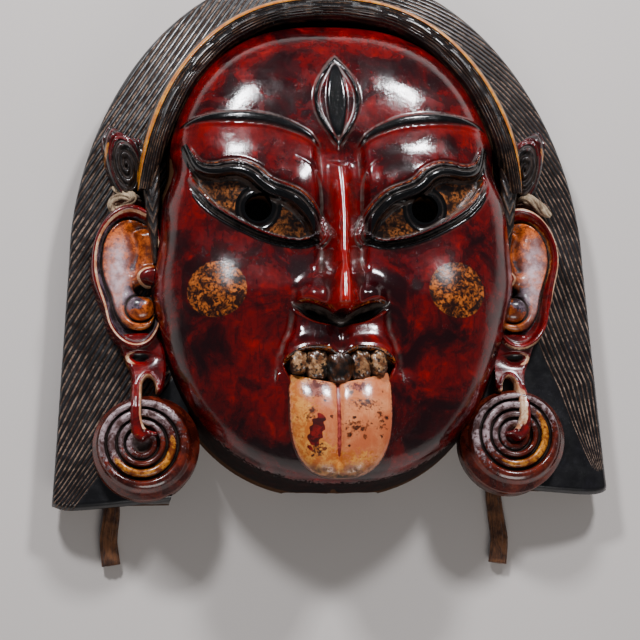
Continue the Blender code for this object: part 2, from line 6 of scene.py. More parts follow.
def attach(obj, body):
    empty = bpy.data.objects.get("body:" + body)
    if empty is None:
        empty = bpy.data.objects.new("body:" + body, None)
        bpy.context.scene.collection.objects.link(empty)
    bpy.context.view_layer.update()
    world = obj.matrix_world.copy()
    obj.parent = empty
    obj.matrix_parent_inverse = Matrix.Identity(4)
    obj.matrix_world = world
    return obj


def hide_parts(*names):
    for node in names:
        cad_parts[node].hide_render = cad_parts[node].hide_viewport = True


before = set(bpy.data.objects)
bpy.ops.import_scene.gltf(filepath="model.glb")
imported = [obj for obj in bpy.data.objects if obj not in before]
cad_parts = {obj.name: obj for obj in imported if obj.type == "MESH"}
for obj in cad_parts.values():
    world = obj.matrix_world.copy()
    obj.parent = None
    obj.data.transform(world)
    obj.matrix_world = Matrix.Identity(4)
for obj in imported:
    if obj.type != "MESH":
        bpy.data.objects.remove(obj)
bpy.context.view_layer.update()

# %% [markdown]
# # A lacquered wooden mask
#
# The real mask is one block of wood, carved with gouges, painted in layers of red and black
# lacquer, gilded in places and rubbed with age. It lies on its hollow back, face up. The solid
# that was loaded gives its outline and its main forms. This lesson carves the same forms again,
# finer, as surfaces of two parameters, and paints them with procedural materials.
#
# Lengths are written in millimetres, because that is how a carver would give them, and each
# mesh is scaled to metres when it is made.

# %% Units, sizes and a paint box
MM = 0.001
FACE_WIDTH, FACE_TOP, FACE_BOTTOM, FACE_MIDDLE = 254.0, 150.0, -190.0, -30.0
FACE_EDGE, FACE_FRONT = 45.0, 98.0
HAIR_EDGE, HAIR_INNER = 27.0, 40.0
PUPIL = (59.0, 0.5)


def tone(red, green, blue):
    """A colour as a painter's 0 to 255 values, turned into the linear light that shaders use."""
    share = np.array([red, green, blue]) / 255
    light = np.where(share <= 0.04045, share / 12.92, ((share + 0.055) / 1.055) ** 2.4)
    return (*[float(v) for v in light], 1.0)


# %% [markdown]
# ## Camera and light
#
# The mask lies on the floor and the camera looks down on it from the side of the chin, a little
# from the left. The object leans by one degree in the picture, so the camera is rolled by as
# much. Two soft lights stand beyond the top of the head, one on each side, so that every bulge
# of the face carries a pair of highlights on its upper slope. A wide, weak one fills in from the
# side of the chin.

# %% Camera
AZIMUTH, TILT, ROLL = np.radians(6.0), np.radians(12.0), np.radians(1.0)
DISTANCE, FIELD_OF_VIEW = 1.5, np.radians(17.366)
target = Vector((-0.010, -0.071, 0.050))
back = Vector(
    (-np.sin(AZIMUTH) * np.cos(TILT), -np.sin(TILT), np.cos(AZIMUTH) * np.cos(TILT))
)
up = (Vector((0, 1, 0)) - back * back.y).normalized()
right = up.cross(back)
rolled_right = right * np.cos(ROLL) - up * np.sin(ROLL)
rolled_up = right * np.sin(ROLL) + up * np.cos(ROLL)
camera = bpy.data.objects.new("camera", bpy.data.cameras.new("camera"))
bpy.context.scene.collection.objects.link(camera)
turn = Matrix((rolled_right, rolled_up, back)).transposed().to_4x4()
camera.matrix_world = Matrix.Translation(target + back * DISTANCE) @ turn
camera.data.angle = FIELD_OF_VIEW
bpy.context.scene.camera = camera
print("the camera looks down from", [round(v, 3) for v in camera.location])

# %% Lights and floor
world = bpy.data.worlds.new("studio")
world.use_nodes = True
sky = world.node_tree.nodes["Background"]
sky.inputs["Color"].default_value = tone(222, 226, 235)
sky.inputs["Strength"].default_value = 0.14
bpy.context.scene.world = world


def add_softbox(name, place, aim, size, watts, colour):
    """A rectangular soft light at a place, turned to face the point it is aimed at."""
    lamp = bpy.data.objects.new(name, bpy.data.lights.new(name, "AREA"))
    lamp.data.shape = "RECTANGLE"
    lamp.data.size, lamp.data.size_y = size
    lamp.data.energy = watts
    lamp.data.color = colour
    lamp.location = place
    lamp.rotation_euler = (Vector(place) - Vector(aim)).to_track_quat("Z", "Y").to_euler()
    bpy.context.scene.collection.objects.link(lamp)


COOL_WHITE, WARM_WHITE = (0.95, 0.96, 1.0), (1.0, 0.97, 0.94)
NOSE_BRIDGE, MOUTH = (0, -0.02, 0.05), (0, -0.08, 0.05)
for name, side in (("left_box", -1), ("right_box", 1)):
    add_softbox(name, (side * 0.55, 1.05, 1.05), NOSE_BRIDGE, (0.24, 0.17), 22, COOL_WHITE)
add_softbox("low_fill", (0.2, -1.45, 0.9), MOUTH, (0.9, 0.5), 9, WARM_WHITE)

FLOOR_HALF = 4
corners = [(x * FLOOR_HALF, y * FLOOR_HALF, 0) for x, y in ((-1, -1), (1, -1), (1, 1), (-1, 1))]
floor_mesh = bpy.data.meshes.new("floor")
floor_mesh.from_pydata(corners, [], [(0, 1, 2, 3)])
floor = bpy.data.objects.new("floor", floor_mesh)
bpy.context.scene.collection.objects.link(floor)
floor_paint = bpy.data.materials.new("pale_floor")
floor_paint.use_nodes = True
floor_shader = floor_paint.node_tree.nodes["Principled BSDF"]
floor_shader.inputs["Base Color"].default_value = tone(212, 205, 200)
floor_shader.inputs["Roughness"].default_value = 0.85
floor_mesh.materials.append(floor_paint)

# %% [markdown]
# ## Meshes from arrays
#
# Every form below is a closed body whose rows of points are loops, like the hoops of a barrel.
# Neighbouring loops are joined by four-sided faces and the two end loops are capped. If the
# signed volume comes out negative, the faces point inwards, and all of them are turned at once.

# %% Closed bodies and their attributes
def store(mesh, key, values):
    """Keeps one number for each point of a mesh under a name that materials can read."""
    mesh.attributes.new(key, "FLOAT", "POINT").data.foreach_set("value", values.astype(np.float32))


def loop_faces(rows, around):
    """Four-sided faces between neighbouring loops, as point numbers."""
    i, j = np.meshgrid(np.arange(rows - 1), np.arange(around), indexing="ij")
    k = (j + 1) % around
    quads = [i * around + j, i * around + k, (i + 1) * around + k, (i + 1) * around + j]
    return np.stack(quads, -1).reshape(-1, 4)


def signed_volume(points, quads):
    """The sum over all faces of a pyramid from the middle of the body to the face."""
    a, b, c, d = (points[quads[:, n]] - points.mean(0) for n in range(4))
    total = np.einsum("ij,ij->i", a, np.cross(b, c)).sum()
    return total + np.einsum("ij,ij->i", a, np.cross(c, d)).sum()


def add_piece(name, bodies, attributes=None, sharp=None):
    """One object from closed bodies given as arrays of loops, in millimetres. Attributes hold one
    number for each point, in the same layout as the bodies. Edges bent by more than the sharp
    angle, in degrees, aren't smoothed."""
    points, loops, sizes, base = [], [], [], 0
    for body in bodies:
        rows, around = body.shape[:2]
        flat = body.reshape(-1, 3)
        quads = loop_faces(rows, around)
        caps = [np.arange(around)[::-1], np.arange((rows - 1) * around, rows * around)]
        if signed_volume(flat, quads) < 0:
            quads, caps = quads[:, ::-1], [cap[::-1] for cap in caps]
        loops += [quads.ravel() + base, caps[0] + base, caps[1] + base]
        sizes += [np.full(len(quads), 4), np.array([around, around])]
        points.append(flat)
        base += len(flat)
    points, loops, sizes = np.concatenate(points), np.concatenate(loops), np.concatenate(sizes)
    mesh = bpy.data.meshes.new(name)
    mesh.vertices.add(len(points))
    mesh.vertices.foreach_set("co", (points * MM).astype(np.float32).ravel())
    mesh.loops.add(len(loops))
    mesh.loops.foreach_set("vertex_index", loops.astype(np.int32))
    mesh.polygons.add(len(sizes))
    mesh.polygons.foreach_set("loop_start", (np.cumsum(sizes) - sizes).astype(np.int32))
    mesh.update(calc_edges=True)
    for key, values in (attributes or {}).items():
        flat = [np.broadcast_to(v, b.shape[:2]).ravel() for v, b in zip(values, bodies)]
        store(mesh, key, np.concatenate(flat))
    mesh.shade_smooth()
    if sharp is not None:
        mesh.set_sharp_from_angle(angle=np.radians(sharp))
    piece = bpy.data.objects.new(name, mesh)
    bpy.context.scene.collection.objects.link(piece)
    return piece


def dress(piece, material, node="mask"):
    """Gives a piece its material and its place in the frame."""
    piece.data.materials.clear()
    piece.data.materials.append(material)
    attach(piece, "root")
    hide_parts(node)
    faces = sum(len(face.vertices) - 2 for face in piece.data.polygons)
    print(piece.name, "has", faces, "triangles")


# %% [markdown]
# ## Lines and soft steps
#
# A carver draws lines on the block and cuts along them. Here a line is a smooth curve through a
# few points, and its field gives every other point the signed distance to it, so that a groove,
# a ridge or the edge of a colour is a simple function of that distance.

# %% Steps, hills and lines
def clamp(value):
    """The value, held between 0 and 1."""
    return np.clip(value, 0, 1)


def circle(count):
    """Angles evenly round a circle."""
    return np.linspace(0, 2 * np.pi, count, endpoint=False)


def step(distance, width):
    """0 well outside, 1 well inside, with a smooth ramp of the given width."""
    share = clamp(distance / width * 0.5 + 0.5)
    return share * share * (3 - 2 * share)


def hill(dx, dy, width, height):
    """A round hill of height 1 that fades over the given widths."""
    return np.exp(-((dx / width) ** 2) - (dy / height) ** 2)


def ridge(distance, width):
    """A round ridge of height 1 along the line where the distance is 0."""
    return np.exp(-((distance / width) ** 2))


def smooth_line(points, per_span=8):
    """A smooth curve through the points: on each span a cubic that meets its neighbours' slopes."""
    p = np.array(points, float)
    before = np.vstack([2 * p[0] - p[1], p[:-1]])
    after = np.vstack([p[1:], 2 * p[-1] - p[-2]])
    slope = (after - before) / 2
    t = np.linspace(0, 1, per_span, endpoint=False)[:, None, None]
    a, b, da, db = p[:-1], p[1:], slope[:-1], slope[1:]
    rising, falling = 3 * t**2 - 2 * t**3, 1 - 3 * t**2 + 2 * t**3
    curve = falling * a + rising * b + (t**3 - 2 * t**2 + t) * da + (t**3 - t**2) * db
    return np.vstack([curve.transpose(1, 0, 2).reshape(-1, p.shape[1]), p[-1]])


def length_along(line):
    """The length of a line from its start to each of its points."""
    return np.concatenate([[0], np.cumsum(np.linalg.norm(np.diff(line, axis=0), axis=1))])


def evenly(line, count):
    """The same curve with its points the same distance apart."""
    along = length_along(line)
    at = np.linspace(0, along[-1], count)
    return np.stack([np.interp(at, along, line[:, k]) for k in range(line.shape[1])], 1)


def from_line(x, y, points, parts=48):
    """Signed distance to a smooth line, positive on its right side, and the share of the line's
    length at the nearest point."""
    line = evenly(smooth_line(points), parts)
    best, signed, share = np.full(x.shape, 1e9), np.zeros(x.shape), np.zeros(x.shape)
    for i, ((ax, ay), (dx, dy)) in enumerate(zip(line[:-1], np.diff(line, axis=0))):
        t = clamp(((x - ax) * dx + (y - ay) * dy) / (dx * dx + dy * dy))
        away = np.hypot(x - ax - t * dx, y - ay - t * dy)
        near = away < best
        best = np.where(near, away, best)
        signed = np.where(near, np.sign((x - ax) * dy - (y - ay) * dx) * away, signed)
        share = np.where(near, (i + t) / (len(line) - 1), share)
    return signed, share


def hollowness(z, reach=2):
    """How far a point of a height grid lies below the mean of its neighbours a few cells away."""
    mean = np.zeros_like(z)
    for axis in (0, 1):
        for shift in (-reach, reach):
            index = np.clip(np.arange(z.shape[axis]) + shift, 0, z.shape[axis] - 1)
            mean += np.take(z, index, axis=axis) / 4
    return mean - z


# %% [markdown]
# ## Paint and wear as node groups
#
# Old lacquer is never one colour. Under the gloss lie blotches of older coats, the gilding has
# flaked, dust has settled in the cuts and the edges are rubbed. Each of these is a small node
# group that gives a number from 0 to 1, and every material below uses them with its own values.

# %% Small helpers for shader nodes
def add_node(tree, kind, values=None, **settings):
    """Adds a node, sets its own choices, and fills inputs by number with values or sockets."""
    made = tree.nodes.new(kind)
    for key, value in settings.items():
        setattr(made, key, value)
    for key, value in (values or {}).items():
        if isinstance(value, bpy.types.NodeSocket):
            tree.links.new(value, made.inputs[key])
        else:
            made.inputs[key].default_value = value
    return made


def sums(tree, operation, a, b=0.0, c=0.0):
    """One arithmetic step."""
    return add_node(tree, "ShaderNodeMath", {0: a, 1: b, 2: c}, operation=operation).outputs[0]


def blend(tree, share, a, b):
    """Colour a where the share is 0 and colour b where it is 1."""
    made = add_node(tree, "ShaderNodeMix", {0: share, 6: a, 7: b}, data_type="RGBA")
    return made.outputs[2]


def between(tree, value, low, high, start=0.0, end=1.0):
    """Turns the range from low to high into start to end, with soft ends."""
    made = add_node(tree, "ShaderNodeMapRange", {0: value, 1: low, 2: high, 3: start, 4: end},
                    interpolation_type="SMOOTHSTEP")
    return made.outputs[0]


def cloud(tree, vector, scale, detail=4.0, rough=0.55, warp=0.0):
    """Noise from 0 to 1 whose lumps are about one over the scale metres wide."""
    return add_node(tree, "ShaderNodeTexNoise", {
        "Vector": vector, "Scale": scale, "Detail": detail, "Roughness": rough, "Distortion": warp,
    }).outputs["Fac"]


def stretched(tree, vector, x, y, z):
    """Coordinates scaled apart along each axis, for streaks and grain."""
    return add_node(tree, "ShaderNodeMapping", {"Vector": vector, "Scale": (x, y, z)}).outputs[0]


def attribute(tree, name):
    """A number that the mesh stores at its points."""
    return add_node(tree, "ShaderNodeAttribute", attribute_name=name).outputs["Fac"]


def new_group(name, inputs, output="Share"):
    """An empty node group with named sockets; a vector input is called Place. It returns the
    group's tree, its input sockets by name, and a function that links the result."""
    tree = bpy.data.node_groups.new(name, "ShaderNodeTree")
    for key, value in inputs.items():
        kind = "NodeSocketVector" if key == "Place" else "NodeSocketFloat"
        socket = tree.interface.new_socket(key, in_out="INPUT", socket_type=kind)
        if kind == "NodeSocketFloat":
            socket.default_value = value
    tree.interface.new_socket(output, in_out="OUTPUT", socket_type="NodeSocketFloat")
    given, result = tree.nodes.new("NodeGroupInput").outputs, tree.nodes.new("NodeGroupOutput").inputs
    return tree, given, lambda value: tree.links.new(value, result[output])


def use(tree, group, **values):
    """Places a group, fills its inputs by their names in small letters, and returns its output."""
    made = add_node(tree, "ShaderNodeGroup", node_tree=group)
    for key, value in values.items():
        socket = made.inputs[key.capitalize()]
        if isinstance(value, bpy.types.NodeSocket):
            tree.links.new(value, socket)
        else:
            socket.default_value = value
    return made.outputs[0]


# %% Shared effects
mottle, given, finish = new_group("mottle", {"Place": 0, "Size": 0.02, "Low": 0.4, "High": 0.6})
frequency = sums(mottle, "DIVIDE", 1.0, given["Size"])
lumps = cloud(mottle, given["Place"], frequency, 6.0, 0.62, 0.6)
finish(between(mottle, lumps, given["Low"], given["High"]))

ragged, given, finish = new_group("ragged_edge", {"Place": 0, "Mask": 0, "Size": 0.002, "Amount": 0.4})
frequency = sums(ragged, "DIVIDE", 1.0, given["Size"])
torn = sums(ragged, "SUBTRACT", cloud(ragged, given["Place"], frequency, 3.0, 0.6), 0.5)
edge = sums(ragged, "MULTIPLY_ADD", torn, given["Amount"], given["Mask"])
finish(between(ragged, edge, 0.42, 0.58))

dust, given, finish = new_group("dust_in_cuts", {"Place": 0, "Hollow": 0, "Amount": 1.0})
patchy = between(dust, cloud(dust, given["Place"], 160.0, 4.0, 0.6), 0.35, 0.65, 0.35, 1.0)
settled = sums(dust, "MULTIPLY", between(dust, given["Hollow"], 0.05, 0.55), given["Amount"])
finish(sums(dust, "MULTIPLY", settled, patchy))

grain, given, finish = new_group("wood_grain", {"Place": 0})
long_way = stretched(grain, given["Place"], 90.0, 7.0, 90.0)
rings = cloud(grain, long_way, 1.0, 5.0, 0.65, 1.4)
pores = cloud(grain, stretched(grain, given["Place"], 1500.0, 60.0, 1500.0), 1.0, 2.0, 0.5)
finish(sums(grain, "MULTIPLY_ADD", pores, 0.35, sums(grain, "MULTIPLY", rings, 0.75)))

marks, given, finish = new_group("tool_marks", {"Place": 0}, "Height")
waves = cloud(marks, given["Place"], 85.0, 2.0, 0.4)
pits = between(marks, cloud(marks, given["Place"], 1400.0, 2.0, 0.5), 0.62, 0.72)
brush = cloud(marks, stretched(marks, given["Place"], 900.0, 60.0, 200.0), 1.0, 2.0, 0.5)
ripple = cloud(marks, given["Place"], 420.0, 3.0, 0.6)
fine = sums(marks, "MULTIPLY_ADD", brush, 0.10, sums(marks, "MULTIPLY", pits, -0.12))
finish(sums(marks, "ADD", waves, sums(marks, "MULTIPLY_ADD", ripple, 0.30, fine)))
print("node groups:", [group.name for group in bpy.data.node_groups])

# %% [markdown]
# A material is built from the bottom up, as the painter worked. First comes the ground, a blend
# of three tones of one lacquer. Then each coat of paint is laid where the mesh says that it
# belongs, with a torn edge. Where the mesh asks for it, a lighter tone is laid softly as painted
# light. Last comes the dust in the cuts, and bare wood where the rim and the hollow were never
# painted.

# %% Painted wood
WOOD_DARK, WOOD_LIGHT, DUST = tone(38, 22, 12), tone(92, 60, 36), tone(84, 72, 66)
RAW_BELOW, PAINTED_ABOVE = 0.010, 0.016


def carved_lines(tree):
    """1 where the stored count is a whole number and lines are carved, 0 between them."""
    apart = sums(tree, "PINGPONG", attribute(tree, "count"), 0.5)
    return sums(tree, "MULTIPLY", between(tree, apart, 0.23, 0.08), attribute(tree, "carved"))


def painted_wood(name, ground, coats, blotch, gloss, dusty=1.0, worn=None, bare=False, painted_light=None,
                 fleck=(0.0085, 0.36)):
    """Lacquer in three tones with edges rubbed to the worn tone, then coats given as (attribute,
    dark, light, torn, roughness), a soft painted light (a lighter tone laid where light falls), dust
    in the cuts and bare wood. Tones are painter's values from 0 to 255. The blotch is the size of
    the lacquer's clouds in metres, the gloss the range of its roughness, and the fleck the size and
    the threshold of the coats' flakes."""
    deep, middling, bright = (tone(*shade) for shade in ground)
    material = bpy.data.materials.new(name)
    material.use_nodes = True
    tree = material.node_tree
    shader = tree.nodes["Principled BSDF"]
    place = add_node(tree, "ShaderNodeTexCoord").outputs["Object"]
    small = use(tree, mottle, place=place, size=blotch * 0.2, low=0.42, high=0.66)
    wide = use(tree, mottle, place=place, size=blotch, low=0.38, high=0.66)
    haze = use(tree, mottle, place=place, size=blotch * 0.45, low=0.52, high=0.78)
    streak = cloud(tree, stretched(tree, place, 330.0, 34.0, 150.0), 1.0, 4.0, 0.7, 0.4)
    colour = blend(tree, wide, deep, middling)
    colour = blend(tree, sums(tree, "MULTIPLY", haze, wide), colour, bright)
    colour = blend(tree, sums(tree, "MULTIPLY", small, 0.5), colour, deep)
    colour = blend(tree, between(tree, streak, 0.50, 0.74, 0.0, 0.6), colour, deep)
    rough = between(tree, cloud(tree, place, 55.0, 5.0, 0.6), 0.35, 0.7, *gloss)
    hollow = attribute(tree, "hollow")
    if worn:
        rubbed = between(tree, hollow, -0.30, -0.90)
        rubbed = use(tree, ragged, place=place, mask=rubbed, size=0.0030, amount=1.0)
        colour = blend(tree, sums(tree, "MULTIPLY", rubbed, 0.5), colour, tone(*worn))
    for key, dark, light, torn, dull in coats:
        mask = carved_lines(tree) if key == "line" else attribute(tree, key)
        share = use(tree, ragged, place=place, mask=mask, size=0.0024, amount=torn)
        flakes = use(tree, mottle, place=place, size=fleck[0], low=0.40, high=0.62)
        speck = use(tree, mottle, place=place, size=0.0021, low=fleck[1], high=fleck[1] + 0.14)
        flaked = blend(tree, sums(tree, "MULTIPLY", flakes, speck), tone(*dark), tone(*light))
        colour = blend(tree, share, colour, flaked)
        rough = sums(tree, "MULTIPLY_ADD", share, sums(tree, "SUBTRACT", dull, rough), rough)
    # Painted light: a lighter tone laid softly where the light falls on the surface.
    if painted_light:
        uneven = between(tree, cloud(tree, place, 170.0, 5.0, 0.65), 0.32, 0.66, 0.35, 1.0)
        lit = sums(tree, "MULTIPLY", attribute(tree, "painted_light"), uneven)
        colour = blend(tree, lit, colour, tone(*painted_light))
    lying = use(tree, dust, place=place, hollow=hollow, amount=dusty)
    colour = blend(tree, lying, colour, DUST)
    rough = sums(tree, "MULTIPLY_ADD", lying, 0.4, rough)
    height = use(tree, marks, place=place)
    if bare:
        height_up = add_node(tree, "ShaderNodeSeparateXYZ", {0: place}).outputs["Z"]
        low = between(tree, height_up, RAW_BELOW, PAINTED_ABOVE, 1.0, 0.0)
        mask = sums(tree, "MAXIMUM", low, attribute(tree, "bare"))
        raw = use(tree, ragged, place=place, mask=mask, size=0.006, amount=0.8)
        fibre = use(tree, grain, place=place)
        colour = blend(tree, raw, colour, blend(tree, fibre, WOOD_DARK, WOOD_LIGHT))
        rough = sums(tree, "MULTIPLY_ADD", raw, sums(tree, "SUBTRACT", 0.8, rough), rough)
        height = sums(tree, "MULTIPLY_ADD", sums(tree, "MULTIPLY", raw, fibre), 1.5, height)
    relief = add_node(tree, "ShaderNodeBump", {"Height": height, "Strength": 0.40, "Distance": 0.0007})
    for key, value in {
        "Base Color": colour,
        "Roughness": rough,
        "Normal": relief.outputs[0],
        "Coat Weight": between(tree, rough, 0.36, 0.5, 0.35, 0.0),
        "Specular IOR Level": between(tree, rough, 0.42, 0.6, 0.5, 0.10),
    }.items():
        tree.links.new(value, shader.inputs[key])
    shader.inputs["Coat Roughness"].default_value = 0.08
    return material


# %% [markdown]
# ## The carved face
#
# The face is a low dome over an egg-shaped outline. Its edge stands 45 mm over the rim and its
# cheeks nearly 100 mm. On the dome sit hills for the cheeks, chin and lids, a nose ridge between
# two sunk planes, and grooves along drawn lines. Each is one term in a sum of heights.

# %% Lines drawn on the face
UPPER_LID = ((109, 52), (104, 36), (97, 29), (88, 26.5), (79, 27), (71, 26), (63, 21.5),
             (57, 15.5), (50, 11), (42, 8), (34, 4), (27, -2), (21, -9.5), (17, -20))
LOWER_LID = ((104, 23), (92, 7), (83, -1), (74, -7), (65, -12), (57, -16), (47, -19.5),
             (37, -21.5), (28, -22), (18, -19))
BROW = ((14, 45), (22, 53), (32, 58.5), (45, 63.5), (60, 66.5), (75, 68), (90, 68.5),
        (103, 67.5), (113, 64.5))
SMILE_FOLD = ((33, -62), (33.5, -76), (35, -88), (38.5, -97), (42, -105), (43, -114))
SOCKET = ((30, 37), (21, 31), (16, 20), (14.5, 8), (15, -8), (19, -24))


def outline_at(y):
    """The outline is a superellipse with a rounder jaw than crown: the share of its reach from the
    middle up or down, and its power."""
    over = y > FACE_MIDDLE
    reach = np.where(over, FACE_TOP - FACE_MIDDLE, FACE_MIDDLE - FACE_BOTTOM)
    return np.abs(y - FACE_MIDDLE) / reach, np.where(over, 2.6, 2.3)


def oval(x, y):
    """How far out a point of the face lies: 0 in the middle, 1 on the outline."""
    along, power = outline_at(y)
    return ((np.abs(x) / (FACE_WIDTH / 2)) ** power + along**power) ** (1 / power)


def half_width(y):
    """Half the face's width at a height: the superellipse solved for x."""
    along, power = outline_at(y)
    return FACE_WIDTH / 2 * (1 - clamp(along) ** power) ** (1 / power)


def straighten(x, y):
    """The carver's hand drifts: the eyes sit a little to the right and the mouth to the left."""
    return x - 2.5 * np.exp(-((y / 45) ** 2)) + 1.5 * np.exp(-(((y + 115) / 40) ** 2))


# %% Broad forms
def face_dome(x, y):
    """The dome is the edge's height plus the root of one minus the fourth power of how far out
    the point lies, with hills for the cheeks, the chin and the pads over the eyes."""
    side, out = np.abs(x), clamp(oval(x, y))
    z = FACE_EDGE + (FACE_FRONT - FACE_EDGE) * np.sqrt(1 - out**4)
    z = z - 12 * clamp((y - 90) / 60) ** 2 * (1 - out**6)
    hills = 8 * hill(side - 79, y + 66, 30, 26) + 7 * hill(x, y + 168, 48, 28)
    hills = hills + 6.5 * hill(side - 58, y - 22, 40, 17) + 4.5 * hill(side - 29, y - 8, 12, 15)
    return z + (1 - out**8) * hills


def nose_form(x, y):
    """A narrow ridge that grows towards the tip, between sunk planes, with wings and nostrils."""
    side, down = np.abs(x), clamp((33 - y) / 105)
    sunk = -7 * step(17 - side, 4) * step(y + 44, 10) * step(48 - y, 8)
    crest = (5 + 28 * down) * np.exp(-((side / (6 + 4.5 * down)) ** 2))
    crest = crest * step(33 - y, 3) * step(y + 79, 5)
    wings = 13 * hill(side - 20, y + 66, 11, 13) * step(y + 78, 5)
    return sunk + crest + wings - 13 * nostrils(x, y)


def nostril_reach(x, y):
    """How far out a point lies from the middle of a leaning oval: 1 on its edge."""
    side = np.abs(x)
    turned = (y + 76) - 0.35 * (side - 18)
    return np.hypot((side - 18) / 12, turned / 4.5)


def nostrils(x, y):
    """Two ovals under the wings."""
    return step(1 - nostril_reach(x, y), 0.5)


def from_pupil(x, y):
    """Distance from the middle of the nearer pupil."""
    return np.hypot(np.abs(x) - PUPIL[0], y - PUPIL[1])


def lip_edge(side):
    """The upper lip's lower edge, bowed down in the middle and at the corners."""
    return -103 - 5 * np.exp(-((side / 7) ** 2)) - 8 * (np.clip(side - 20, 0, None) / 18) ** 2


def mouth_half(y):
    """Half the width of the mouth, less where the tongue fills it."""
    return 38 - 6 * step(-118 - y, 9)


def mouth_form(x, y):
    """A rounded lip with a channel under the nose, over a recess for the teeth and tongue."""
    side = np.abs(x)
    inside, over = step(mouth_half(y) - side, 2), y - lip_edge(side)
    lip = inside * (2.8 * ridge(over - 2.2, 2.6) + 2.5 * ridge(over - 9, 7))
    channel = -2.2 * ridge(x, 4.5) * step(y + 108, 6) * step(-80 - y, 6)
    recess = -13 * inside * step(-over, 1.2) * step(y + 128, 7)
    return 4 * hill(x, y + 96, 34, 15) + lip + channel + recess


def eye_fields(x, y):
    """Signed distances to the two lid lines, the share along the upper one, and how far the
    point is inside the open eye."""
    side = np.abs(x)
    above, along = from_line(side, y, UPPER_LID)
    above = above / (0.22 + 0.78 * step(along - 0.13, 0.26))
    over, _ = from_line(side, y, LOWER_LID)
    opened = step(-above - 4.6, 1.4) * step(over, 1.4) * step(side - 18, 3) * step(104 - side, 5)
    return above, along, over, opened


def eye_form(x, y):
    """The eyeball lies 10 mm deep at its corners and swells at the pupil, with two thin rings round
    the iris. The upper lid has three ridges, the lower lid two and a deep cut between them."""
    above, along, over, opened = eye_fields(x, y)
    begun = step(along - 0.03, 0.06)
    lid = 3.6 * np.exp(-(((above + 0.6) / 3.0) ** 4)) + 2.4 * ridge(above - 4.3, 1.1)
    lid = begun * (lid + 1.3 * ridge(above - 6.9, 0.8) - 1.2 * ridge(above - 8.6, 1.1))
    around = from_pupil(x, y)
    iris = 0.6 * ridge(around - 15.4, 1.0) - step(14.2 - around, 1.8) + 0.4 * ridge(around - 11.0, 1.0)
    ball = opened * (-10 + 7 * hill(np.abs(x) - PUPIL[0], y - PUPIL[1], 24, 15) + iris)
    near = step(12 - np.abs(over + 4), 4) * step(np.abs(x) - 15, 4) * step(106 - np.abs(x), 6)
    lower = 2.6 * ridge(over + 1.7, 1.4) - 3.4 * ridge(over + 5.0, 1.5) + ridge(over + 7.8, 1.0)
    return lid + ball + near * lower


def brow_form(x, y):
    """A raised crescent, widest in the middle, with a thin ridge close below it. It returns the
    height, the share of the crescent, and the distance below its edge."""
    away, along = from_line(np.abs(x), y, BROW)
    half = 3.4 * np.sin(np.pi * np.clip(along, 0.001, 0.999)) ** 0.6
    ends = step(along - 0.01, 0.02) * step(0.99 - along, 0.02)
    band = step(half - np.abs(away), 1.2)
    return ends * (2.8 * band + 0.9 * ridge(away - half - 2.0, 1.2)), ends * band, away - half


def leaf_form(x, y):
    """The upright leaf over the nose: the shares of its raised edge and of its raised heart."""
    half = 15 * np.sin(np.pi * clamp((y - 47) / 66)) ** 0.9
    edge = ridge(np.abs(x) - half, 1.5) * step(y - 45, 4) * step(115 - y, 4)
    heart = step(half * 0.45 - np.abs(x), 1.4) * step(y - 52, 4) * step(108 - y, 4)
    return edge, heart


def face_height(x, y):
    """All the terms together. Near the outline the carving dies away, so the edge stays level."""
    x = straighten(x, y)
    keep = 1 - clamp(oval(x, y)) ** 8
    fold, fold_at = from_line(np.abs(x), y, SMILE_FOLD)
    socket, socket_at = from_line(np.abs(x), y, SOCKET)
    leaf_edge, heart = leaf_form(x, y)
    carved = nose_form(x, y) + mouth_form(x, y) + eye_form(x, y) + brow_form(x, y)[0]
    crease = ridge(fold, 3.4) * step(0.99 - fold_at, 0.5) * step(fold_at - 0.01, 0.3)
    crease = 3.4 * crease + 3.0 * ridge(fold + 4, 7) * step(-70 - y, 12) * step(y + 128, 14)
    carved = carved + 2.4 * leaf_edge + 1.8 * heart - crease
    carved = carved - 1.6 * ridge(socket, 1.3) * step(socket_at - 0.16, 0.3)
    return face_dome(x, y) + keep * carved
